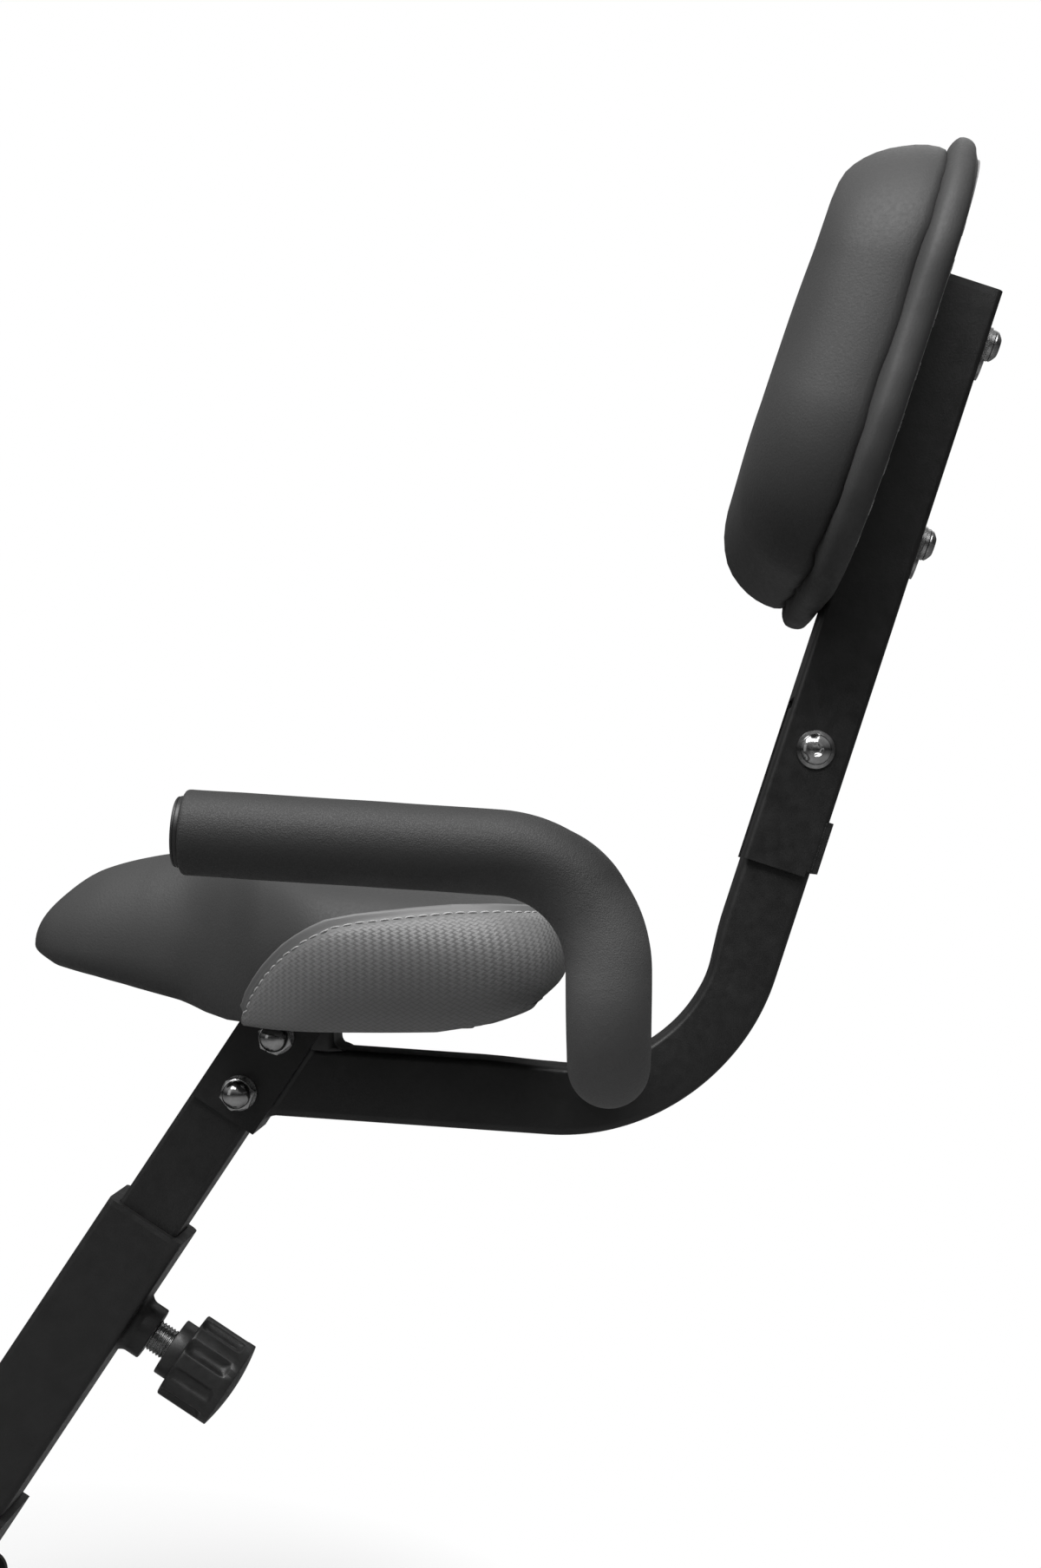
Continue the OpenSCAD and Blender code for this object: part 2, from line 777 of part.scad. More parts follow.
main_tube();
post_bush();
pivot_bracket();
pivot_sleeve();
main_tube_plug();
knob_weld_nut();
lock_pin();
knob_stud();
knob_grip();
knob_cap();
inner_post();
inner_post_plug();
seat_channel();
carriage_bolts();
carriage_washers();
carriage_acorn_nuts();
frame_tube();
frame_tube_plug();
seat_plate();
seat_bolts();
seat_washers();
seat_base();
seat_inserts();
seat_cushion();
handlebar();
grip_left();
grip_right();
grip_cap_left();
grip_cap_right();
pivot_bushes();
pivot_spacer();
back_bracket();
stop_plate();
back_bracket_cap();
pivot_bolt();
pivot_washer();
pivot_nut();
back_bolts();
back_spring_washers();
back_plate_washers();
back_board();
back_t_nuts();
back_cushion();
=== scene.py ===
import json
from math import atan2, cos, pi, radians, sin, sqrt, tan

import bmesh
import bpy
import numpy as np
from mathutils import Matrix, Vector, noise


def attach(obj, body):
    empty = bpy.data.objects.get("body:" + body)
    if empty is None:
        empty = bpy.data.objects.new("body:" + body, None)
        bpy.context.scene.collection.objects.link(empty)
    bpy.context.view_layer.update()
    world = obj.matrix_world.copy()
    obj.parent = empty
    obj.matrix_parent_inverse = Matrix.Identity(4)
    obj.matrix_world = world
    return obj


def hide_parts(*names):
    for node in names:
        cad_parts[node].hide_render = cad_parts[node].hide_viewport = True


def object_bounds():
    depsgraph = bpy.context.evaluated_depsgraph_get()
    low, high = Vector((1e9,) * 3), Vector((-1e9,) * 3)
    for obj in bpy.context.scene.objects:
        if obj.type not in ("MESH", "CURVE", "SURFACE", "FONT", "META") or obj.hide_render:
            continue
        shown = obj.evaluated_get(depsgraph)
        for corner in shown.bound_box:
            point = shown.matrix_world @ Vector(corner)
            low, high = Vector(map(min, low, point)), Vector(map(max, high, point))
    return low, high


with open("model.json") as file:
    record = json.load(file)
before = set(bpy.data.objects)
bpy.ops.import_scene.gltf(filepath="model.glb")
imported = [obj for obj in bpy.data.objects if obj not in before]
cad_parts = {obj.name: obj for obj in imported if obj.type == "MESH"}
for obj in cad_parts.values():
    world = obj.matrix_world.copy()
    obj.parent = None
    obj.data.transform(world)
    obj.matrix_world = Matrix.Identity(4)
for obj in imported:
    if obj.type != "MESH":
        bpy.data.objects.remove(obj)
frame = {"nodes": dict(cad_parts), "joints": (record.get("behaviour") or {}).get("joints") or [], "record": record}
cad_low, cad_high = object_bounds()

# Shapes are worked out in millimetres, and each frame below scales them to metres.
MM = Matrix.Scale(0.001, 4)
SIDES = (-1, 1)

# ------------------------------------------------------------------ frames
joints = {j["name"]: j for j in frame["joints"]}
post_up = Vector(joints["post_slide"]["axis"])
POST_LEAN = atan2(post_up.x, post_up.z)
PIVOT_OFFSET = 31
BACK_LEAN = radians(18.1)
fold_point = Vector(joints["backrest_fold"]["pos_m"])

WORLD = MM
# x runs rearwards from the post's centreline, z up along the post
POST = Matrix.Rotation(POST_LEAN, 4, "Y") @ MM @ Matrix.Translation((-PIVOT_OFFSET, 0, 0))
# x runs rearwards from the folding pivot, z up the backrest
BACK = Matrix.Translation(fold_point) @ Matrix.Rotation(BACK_LEAN, 4, "Y") @ MM
REARWARDS = Matrix.Rotation(radians(90), 4, "Y")


def sideways(side):
    """Turns +Z onto the near (-1) or far (1) side."""
    return Matrix.Rotation(radians(-90 * side), 4, "X")


def at(x, y, z):
    return Matrix.Translation((x, y, z))


# --------------------------------------------------------------- materials
def new_material(name, colour, roughness, metallic=0.0, **sockets):
    """A Principled material; what is even all over is set on its own sockets."""
    material = bpy.data.materials.new(name)
    material.use_nodes = True
    shader = material.node_tree.nodes["Principled BSDF"]
    shader.inputs["Base Color"].default_value = (colour, colour, colour, 1)
    shader.inputs["Roughness"].default_value = roughness
    shader.inputs["Metallic"].default_value = metallic
    for key, value in sockets.items():
        shader.inputs[key.replace("_", " ")].default_value = value
    return material, material.node_tree, shader


def add(tree, kind, **inputs):
    """A new node with its inputs set: a value is copied in and a socket is linked."""
    node = tree.nodes.new("ShaderNode" + kind)
    for key, value in inputs.items():
        setting = key.replace("_", " ")
        if hasattr(node, key) and not setting[0].isupper():
            setattr(node, key, value)
            continue
        socket = node.inputs[int(key[1:])] if key[1:].isdigit() else node.inputs[setting]
        if isinstance(value, bpy.types.NodeSocket):
            tree.links.new(value, socket)
        else:
            socket.default_value = value
    return node


def object_coords(tree):
    return add(tree, "TexCoord").outputs["Object"]


def speckle(tree, coords, scale, detail=2.0, rough=0.5):
    return add(tree, "TexNoise", Vector=coords, Scale=scale, Detail=detail, Roughness=rough).outputs["Fac"]


def remap(tree, value, low, high, from_low=0.3, from_high=0.7):
    return add(tree, "MapRange", Value=value, From_Min=from_low, From_Max=from_high,
               To_Min=low, To_Max=high).outputs["Result"]


def arithmetic(tree, operation, first, second=None):
    node = add(tree, "Math", operation=operation, _0=first)
    if second is not None:
        socket = node.inputs[1]
        if isinstance(second, bpy.types.NodeSocket):
            tree.links.new(second, socket)
        else:
            socket.default_value = second
    return node.outputs[0]


def grey_ramp(tree, value, *stops):
    """A value turned into greys through (position, grey) stops."""
    node = tree.nodes.new("ShaderNodeValToRGB")
    elements = node.color_ramp.elements
    elements.remove(elements[1])
    for i, (position, grey) in enumerate(stops):
        element = elements.new(position) if i else elements[0]
        element.position = position
        element.color = (grey, grey, grey, 1)
    tree.links.new(value, node.inputs["Fac"])
    return node.outputs["Color"]


def vary_colour(tree, shader, value, dark, light):
    """Base colour runs between two greys with the value."""
    tree.links.new(grey_ramp(tree, value, (0.3, dark), (0.7, light)), shader.inputs["Base Color"])


def bumps(tree, shader, *layers):
    """Stacks (height, distance in metres) layers of bump on the shader."""
    normal = None
    for height, distance in layers:
        node = add(tree, "Bump", Height=height, Distance=distance, Strength=1.0)
        if normal is not None:
            tree.links.new(normal, node.inputs["Normal"])
        normal = node.outputs["Normal"]
    tree.links.new(normal, shader.inputs["Normal"])


def make_grained(name, colour, roughness, patches, greys, gloss=None, layers=(), metallic=0.0, **sockets):
    """A material with noise in its grey, gloss and grain; None stands for the colour's own patches."""
    material, tree, shader = new_material(name, colour, roughness, metallic, **sockets)
    coords = object_coords(tree)
    base = speckle(tree, coords, *patches)
    vary_colour(tree, shader, base, *greys)
    if gloss:
        spots, low, high = gloss
        spots = speckle(tree, coords, *spots) if spots else base
        tree.links.new(remap(tree, spots, low, high), shader.inputs["Roughness"])
    bumps(tree, shader, *[(speckle(tree, coords, *spots) if spots else base, depth)
                          for spots, depth in layers])
    return material


def make_foam():
    """Closed-cell foam: matt, with fine pores and faint moulding clouds, and painted light that makes it paler
    down the legs.
    """
    material, tree, shader = new_material("grip_foam", 0.02, 0.62, Specular_IOR_Level=0.6)
    coords = object_coords(tree)
    clouds = speckle(tree, coords, 35, 4, 0.6)
    pores = add(tree, "TexVoronoi", Vector=coords, Scale=1300.0).outputs["Distance"]
    # Painted light: the foam is coloured paler from 0.42 m down to 0.34 m in height, so the legs look lit.
    height = add(tree, "SeparateXYZ", Vector=coords).outputs["Z"]
    painted_leg_light = remap(tree, height, 1.0, 0.0, 0.34, 0.42)
    shade = arithmetic(tree, "ADD", painted_leg_light, arithmetic(tree, "MULTIPLY", clouds, 0.25))
    vary_colour(tree, shader, shade, 0.014, 0.075)
    tree.links.new(remap(tree, pores, 0.56, 0.7, 0.1, 0.6), shader.inputs["Roughness"])
    bumps(tree, shader, (pores, 0.00012), (speckle(tree, coords, 300, 3), 0.00012))
    return material


def make_vinyl():
    """Smooth upholstery vinyl: soft sheen and a very fine leather grain."""
    material, tree, shader = new_material("upholstery_vinyl", 0.043, 0.56, Specular_IOR_Level=0.3)
    coords = object_coords(tree)
    cells = add(tree, "TexVoronoi", Vector=coords, Scale=900.0, feature="SMOOTH_F1").outputs["Distance"]
    clouds = speckle(tree, coords, 14, 3)
    vary_colour(tree, shader, clouds, 0.039, 0.047)
    tree.links.new(remap(tree, speckle(tree, coords, 500, 2), 0.5, 0.62), shader.inputs["Roughness"])
    bumps(tree, shader, (cells, 0.00008), (speckle(tree, coords, 2600, 1), 0.00004))
    return material


# Size of one cell of the panel's weave, along and up the panel.
WEAVE_LONG, WEAVE_HIGH = 4.6, 2.5


def make_panel_vinyl():
    """Embossed basket weave laid diagonally, dying out towards the sewn hem."""
    material, tree, shader = new_material("basket_weave_vinyl", 0.22, 0.45)
    place = add(tree, "UVMap", uv_map="weave").outputs["UV"]
    split = add(tree, "SeparateXYZ", Vector=place)
    along, up = split.outputs["X"], split.outputs["Y"]
    first = arithmetic(tree, "ADD", along, up)
    second = arithmetic(tree, "SUBTRACT", along, up)
    strand = []
    for way in (first, second):
        wave = arithmetic(tree, "SINE", arithmetic(tree, "MULTIPLY", way, pi))
        strand.append(arithmetic(tree, "ABSOLUTE", wave))
    cell = arithmetic(tree, "ADD", arithmetic(tree, "FLOOR", first), arithmetic(tree, "FLOOR", second))
    odd = arithmetic(tree, "FLOORED_MODULO", cell, 2.0)
    over = add(tree, "Mix", Factor=odd, _2=strand[0], _3=strand[1]).outputs[0]
    depth = add(tree, "Attribute", attribute_name="weave_depth").outputs["Fac"]
    height = arithmetic(tree, "MULTIPLY", over, depth)
    # Painted highlight: the raised strands of the weave are coloured lighter than its hollows.
    vary_colour(tree, shader, height, 0.15, 0.185)
    tree.links.new(remap(tree, height, 0.5, 0.4, 0, 1), shader.inputs["Roughness"])
    grain = speckle(tree, object_coords(tree), 1500, 2)
    bumps(tree, shader, (height, 0.00014), (grain, 0.00004))
    return material


def make_cloth():
    """Black non-woven dust cover."""
    material, tree, shader = new_material("dust_cover", 0.02, 0.95, Sheen_Weight=0.25)
    coords = object_coords(tree)
    dots = add(tree, "TexVoronoi", Vector=coords, Scale=420.0).outputs["Distance"]
    vary_colour(tree, shader, dots, 0.016, 0.03)
    bumps(tree, shader, (dots, 0.0002), (speckle(tree, coords, 1500, 3), 0.0001))
    return material


def make_plywood():
    """Raw birch plywood with long grain."""
    material, tree, shader = new_material("plywood", 0.3, 0.7)
    stretched = add(tree, "Mapping", Vector=object_coords(tree), Scale=(60, 60, 6)).outputs["Vector"]
    grain = speckle(tree, stretched, 4, 5, 0.6)
    vary_colour(tree, shader, grain, 0.2, 0.36)
    bumps(tree, shader, (grain, 0.0002))
    return material


materials = {
    # Satin powder coat with a fine orange peel.
    "black_paint": make_grained("black_powder_coat", 0.011, 0.4, (45, 4, 0.6), (0.0085, 0.0135),
                                ((160, 3), 0.36, 0.5), [((900, 1), 0.00006), (None, 0.0002)],
                                Specular_IOR_Level=0.45),
    # Zinc plate: softly streaked and slightly dull.
    "zinc_steel": make_grained("zinc_plate", 0.36, 0.3, (260, 4, 0.65), (0.3, 0.42),
                               ((900, 3), 0.2, 0.38), [(None, 0.00004)], 1.0),
    # Bright nickel plate on the dome nuts and the pivot screw.
    "bright_steel": make_grained("bright_plate", 0.4, 0.14, (320, 3, 0.6), (0.33, 0.46),
                                 (None, 0.1, 0.2), [((300, 2), 0.00005)], 1.0),
    # Moulded plastic with a fine spark-eroded grain.
    "black_plastic": make_grained("black_plastic", 0.014, 0.42, (70, 3), (0.010, 0.019),
                                  ((240, 2), 0.36, 0.52), [((1800, 1), 0.00005)]),
    # Off-white nylon with a faint flow pattern.
    "white_nylon": make_grained("white_nylon", 0.7, 0.45, (120, 3), (0.6, 0.72),
                                (None, 0.4, 0.55), [((700, 1), 0.00004)]),
    # Grey bonded thread with a twist.
    "thread": make_grained("sewing_thread", 0.4, 0.6, (2500, 2), (0.3, 0.5), layers=[(None, 0.00008)],
                           Sheen_Weight=0.2),
    "grip_foam": make_foam(), "vinyl": make_vinyl(), "panel_vinyl": make_panel_vinyl(),
    "backing_cloth": make_cloth(), "plywood": make_plywood(),
}


# -------------------------------------------------------------- mesh tools
def mesh_object(name, points, faces, place, body, slot, replaced=(), crease=40, weld=True):
    """A finished piece from millimetre points in the given frame, riding on its body."""
    bm = bmesh.new()
    corners = [bm.verts.new(p) for p in points]
    for face in faces:
        ring = [corners[i] for i in face]
        if len(set(ring)) > 2:
            bm.faces.new(ring)
    if weld:
        bmesh.ops.remove_doubles(bm, verts=bm.verts, dist=1e-4)
        bmesh.ops.dissolve_degenerate(bm, edges=bm.edges, dist=1e-5)
    bmesh.ops.recalc_face_normals(bm, faces=bm.faces)
    mesh = bpy.data.meshes.new(name)
    bm.to_mesh(mesh)
    bm.free()
    mesh.transform(place)
    return dress(bpy.data.objects.new(name, mesh), body, slot, replaced, crease)


def dress(piece, body, slot, replaced=(), crease=40):
    """Links, shades, paints and attaches a piece."""
    bpy.context.scene.collection.objects.link(piece)
    piece.data.shade_smooth()
    piece.data.set_sharp_from_angle(angle=radians(crease))
    piece.data.materials.clear()
    piece.data.materials.append(materials[slot])
    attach(piece, body)
    if replaced:
        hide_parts(*replaced)
    return piece


def grid_faces(rows, columns, around=True, start=0):
    """Quads between successive rows; around closes each row on itself."""
    last = columns if around else columns - 1
    faces = []
    for i in range(rows - 1):
        for j in range(last):
            k = (j + 1) % columns
            a, b = start + i * columns, start + (i + 1) * columns
            faces.append((a + j, a + k, b + k, b + j))
    return faces


def shell(rings, start=0, close=False, caps=True):
    """Points and faces of a tube through equal rings; close joins the last to the first."""
    columns = len(rings[0])
    points = [p for ring in rings for p in ring]
    faces = grid_faces(len(rings), columns, True, start)
    last = start + (len(rings) - 1) * columns
    if close:
        faces += [(last + j, last + (j + 1) % columns, start + (j + 1) % columns, start + j)
                  for j in range(columns)]
    elif caps:
        faces += [tuple(range(start, start + columns)), tuple(range(last, last + columns))]
    return points, faces


def moved(points, matrix):
    return [matrix @ Vector(p) for p in points]


def merged(*parts):
    """Several (points, faces) as one."""
    points, faces = [], []
    for part_points, part_faces in parts:
        shift = len(points)
        points += part_points
        faces += [tuple(i + shift for i in face) for face in part_faces]
    return points, faces


def turned(rows, columns=72):
    """Turns (height, radius) rows about z; a radius may be a function of the angle."""
    rings = []
    for z, r in rows:
        angles = [2 * pi * j / columns for j in range(columns)]
        radii = [r(a) if callable(r) else r for a in angles]
        rings.append([(q * cos(a), q * sin(a), z) for q, a in zip(radii, angles)])
    return shell(rings)


def hex_radius(angle, across_flats):
    return across_flats / 2 / cos((angle + pi / 6) % (pi / 3) - pi / 6)


def hexagonal(across_flats, z, limit):
    """A row of a hexagon whose corners are turned off to a circle."""
    return z, lambda a: min(hex_radius(a, across_flats), limit)


def hex_rows(across_flats, low, high, chamfer_low=False):
    """Rows of a hexagonal body, its upper edge and perhaps its lower one chamfered at 30 degrees."""
    corner = across_flats / 2 / cos(pi / 6)
    slope = tan(radians(30))
    depth = (corner - 0.475 * across_flats) * slope
    shares = [i / 4 for i in range(5)]
    if chamfer_low:
        rows = [hexagonal(across_flats, low + depth * share, corner - (1 - share) * depth / slope)
                for share in shares]
    else:
        rows = [hexagonal(across_flats, low, corner)]
    rows += [hexagonal(across_flats, high - depth * (1 - share), corner - share * depth / slope)
             for share in shares]
    return rows


def dome_rows(low, radius, height, steps=10):
    """Rows of a ball slice of the given base radius and height."""
    ball = (radius * radius + height * height) / (2 * height)
    top = low + height
    rows = []
    for i in range(steps + 1):
        r = radius * cos(pi / 2 * i / steps)
        rows.append((top - ball + sqrt(ball * ball - r * r), r))
    return rows


def sweep(route, outline, closed=False):
    """Rings of an outline, a function of row share giving (side, up) points, along a route."""
    route = [Vector(p) for p in route]
    count = len(route)
    rings = []
    side = None
    for i, point in enumerate(route):
        if closed:
            ahead, behind = route[(i + 1) % count], route[i - 1]
        else:
            ahead, behind = route[min(i + 1, count - 1)], route[max(i - 1, 0)]
        along = (ahead - behind).normalized()
        if side is None:
            side = along.orthogonal().normalized()
        side = (side - along * side.dot(along)).normalized()
        up = along.cross(side)
        rings.append([point + side * a + up * b for a, b in outline(i / (count - 1))])
    return rings


def circle_points(radius, columns):
    return [(radius * cos(2 * pi * j / columns), radius * sin(2 * pi * j / columns)) for j in range(columns)]


def interpolate(table, x):
    return float(np.interp(x, [row[0] for row in table], [row[1] for row in table]))


def rounded_profile(table, x, reach=12):
    """A table's value with its kinks rounded off over a short way to each side."""
    return sum(interpolate(table, x + reach * k / 6) for k in range(-6, 7)) / 13


def smooth(share):
    share = min(max(share, 0.0), 1.0)
    return share * share * (3 - 2 * share)


def smooth_curve(points, closed, steps):
    """Catmull-Rom points through the given ones."""
    points = [Vector(p) for p in points]
    count = len(points)
    result = []
    for i in range(count if closed else count - 1):
        if closed:
            a, b, c, d = (points[(i + k) % count] for k in (-1, 0, 1, 2))
        else:
            a, b = points[max(i - 1, 0)], points[i]
            c, d = points[i + 1], points[min(i + 2, count - 1)]
        for k in range(steps):
            t = k / steps
            result.append(0.5 * (2 * b + (c - a) * t + (2 * a - 5 * b + 4 * c - d) * t * t
                                 + (3 * b - a - 3 * c + d) * t ** 3))
    if not closed:
        result.append(points[-1])
    return result


def evenly(points, count, closed=False):
    """count points at equal distances along a polyline."""
    line = [Vector(p) for p in points]
    if closed:
        line.append(line[0])
    lengths = np.cumsum([0] + [(b - a).length for a, b in zip(line, line[1:])])
    wanted = np.linspace(0, lengths[-1], count + 1 if closed else count)
    if closed:
        wanted = wanted[:-1]
    spots = np.array([list(p) for p in line])
    return [Vector([float(np.interp(w, lengths, spots[:, k])) for k in range(spots.shape[1])])
            for w in wanted]


def bead(name, path, radius, body, closed=True, place=WORLD):
    """A weld bead: a ripple-backed cord of metal along a path."""
    length = sum((Vector(b) - Vector(a)).length for a, b in zip(path, path[1:]))
    route = evenly(path, max(int(length / 0.6), 12), closed)
    columns = 10

    def outline(share):
        travelled = share * length
        ripple = 1 + 0.10 * abs(sin(pi * travelled / 2.6)) + 0.12 * noise.noise((travelled / 9, radius, 0))
        return circle_points(radius * ripple, columns)

    points, faces = shell(sweep(route, outline, closed), close=closed)
    return mesh_object(name, points, faces, place, body, "black_paint", crease=60)


# ---------------------------------------------------- carried-over CAD nodes
slot_of = {part["node"]: part["material_slot"] for part in frame["record"]["subparts"]}
# Width in millimetres of the break on each node's cut edges.
EASED = {"main_tube": 0.4, "inner_post": 0.4, "pivot_bracket": 0.8, "seat_channel": 0.8, "seat_plate": 0.8,
         "back_bracket": 0.5, "stop_plate": 0.6, "back_bracket_cap": 0.8, "post_bush": 0.8,
         "main_tube_plug": 0.8, "carriage_washers": 0.3, "seat_washers": 0.3, "back_plate_washers": 0.4,
         "pivot_washer": 0.3, "seat_base": 1.0, "inner_post_plug": 0.6, "frame_tube_plug": 0.6}


def finish_cad_nodes():
    """Every CAD node gets its slot's material, and cut edges get a small break."""
    for node, piece in frame["nodes"].items():
        piece.data.materials.clear()
        piece.data.materials.append(materials[slot_of[node]])
        if node in EASED:
            edge = piece.modifiers.new("eased_edges", "BEVEL")
            edge.width = EASED[node] * 0.001
            edge.segments = 2
            edge.limit_method = "ANGLE"
            edge.angle_limit = radians(50)
            edge.harden_normals = False


finish_cad_nodes()

# ------------------------------------------------------------------ saddle
# Plan outline of one half, from the nose tip to the middle of the rear edge.
NOSE_X = 36.5
SEAT_LEN = 300
HALF_OUTLINE = [(0, 0), (1.5, 10), (6, 20), (15, 30.5), (34, 41), (66, 49.5), (95, 58), (120, 78), (145, 106),
                (172, 127), (205, 135), (240, 134.5), (268, 129), (286, 118), (295.5, 101), (299.5, 80),
                (300, 40), (300, 0)]
# Heights against distance behind the nose tip.
SEAT_TOP = [(0, 394), (10, 394), (20, 397), (34, 403), (49, 408.5), (64, 412), (80, 414.8), (101, 415.5),
            (126, 412), (150, 403.5), (175, 398), (224, 395), (273, 393), (300, 391)]
SEAT_WIDEST = [(0, 363), (60, 360), (100, 356), (150, 352), (255, 352), (285, 356), (300, 361)]
SEAT_EDGE = [(0, 356.5), (12, 351), (34, 346.6), (60, 340.3), (88, 334.1), (105, 328.6), (120, 325.3),
             (150, 324.6), (240, 325.2), (262, 328.2), (280, 333.2), (291, 339), (300, 346)]
SHOULDER = 40
TUCK = 12
HEM = 13
OUTLINE_STEPS = 20
UNDER_ROWS, SHOULDER_ROWS, TOP_ROWS = 8, 16, 16


def seat_outline():
    far = smooth_curve([(x, y, 0) for x, y in HALF_OUTLINE], False, OUTLINE_STEPS)
    near = [Vector((p.x, -p.y, 0)) for p in reversed(far[1:-1])]
    return evenly(far + near, 480, True)


def seat_columns():
    """For each outline point, the column of cover points from the hem up to the middle."""
    columns = []
    for spot in seat_outline():
        spine = Vector((45 + spot.x * 170 / SEAT_LEN, 0, 0))
        reach = (spine - spot).length
        inward = (spine - spot) / reach
        radius = min(SHOULDER, 0.85 * reach)
        widest, edge = interpolate(SEAT_WIDEST, spot.x), interpolate(SEAT_EDGE, spot.x)
        tuck = min(TUCK, 0.4 * reach)
        column = []
        hem_height = interpolate(SEAT_EDGE, (spot + inward * (tuck + HEM)).x)
        column.append((tuck + HEM, hem_height + 2.4))
        column.append((tuck + HEM, hem_height + 0.6))
        column.append((tuck + HEM - 1, hem_height))
        for i in range(UNDER_ROWS + 1):
            angle = pi / 2 * (1 - i / UNDER_ROWS)
            column.append((tuck * (1 - cos(angle)), widest - (widest - edge) * sin(angle)))
        for i in range(1, SHOULDER_ROWS + 1):
            angle = pi / 2 * i / SHOULDER_ROWS
            inset = radius * (1 - cos(angle))
            top = rounded_profile(SEAT_TOP, (spot + inward * inset).x)
            column.append((inset, widest + (top - widest) * sin(angle)))
        for i in range(1, TOP_ROWS + 1):
            inset = radius + (reach - radius) * i / TOP_ROWS
            column.append((inset, rounded_profile(SEAT_TOP, (spot + inward * inset).x)))
        places = [(spot + inward * inset, z) for inset, z in column]
        columns.append([Vector((p.x + NOSE_X, p.y, z)) for p, z in places])
    return columns


def waist_fold(point):
    """A soft vertical valley low on the waist, where the nose meets the lobes."""
    along = (point.x - (NOSE_X + 93)) / 9
    low = smooth((372 - point.z) / 30)
    return 1.8 * low * np.exp(-along * along)


def soft_waves(point, size, scale):
    """Slow unevenness of stretched vinyl over foam."""
    return size * noise.noise(Vector(point) / scale)


def build_seat_cover():
    columns = seat_columns()
    rows = len(columns[0])
    for column in columns:
        for i, p in enumerate(column):
            if 3 < i < rows - 1:
                inward = Vector((0, -1 if p.y > 0 else 1, 0)) * min(abs(p.y) / 30, 1)
                column[i] = p + inward * waist_fold(p) + Vector((0, 0, soft_waves(p, 0.7, 45)))
    rings = [[column[i] for column in columns] for i in range(rows)]
    points = [p for ring in rings for p in ring]
    faces = grid_faces(rows, len(columns))
    cover = mesh_object("seat_cover", points, faces, WORLD, "seat_carriage", "vinyl", ["seat_cushion"],
                        crease=80)
    return columns


seat_cover_columns = build_seat_cover()

# Where the side panel's sewn edge lies on the flank: height against place from front to rear.
PANEL_EDGE = [(167.2, 325), (168.1, 335.4), (171, 342.6), (175.4, 349.2), (181, 356.4), (187.3, 362.7),
              (194, 368.5), (201.5, 373.3), (209.5, 377.4), (217.6, 380.7), (234, 383.5), (261.7, 386),
              (285.7, 387.6), (310, 387.6), (330, 386.5), (336.5, 386)]
PANEL_ROWS = 64
HEM_WIDTH = 5.6


def panel_lift(distance):
    """Height over the cover at a distance from the panel's edge: rolled edge, hem, stitch line, field."""
    roll = 2.1 * sqrt(max(0.0, 1 - (1 - min(distance / 1.5, 1.0)) ** 2))
    settle = 0.9 * smooth((distance - 1.2) / 2.6)
    groove = 0.7 * np.exp(-((distance - HEM_WIDTH) / 0.9) ** 2)
    puff = 0.7 * smooth((distance - HEM_WIDTH) / 6)
    return roll - settle - groove + puff - 0.15


def lay_panel(side):
    """The panel's grid of surface points on one flank, from the front end round to the rear seam."""
    flank = [column[2:] for column in seat_cover_columns
             if column[3].y * side > -1e-6 and column[3 + UNDER_ROWS].x >= PANEL_EDGE[0][0]]
    flank.sort(key=lambda column: atan2(column[1 + UNDER_ROWS].x - 200, abs(column[1 + UNDER_ROWS].y)))
    return flank


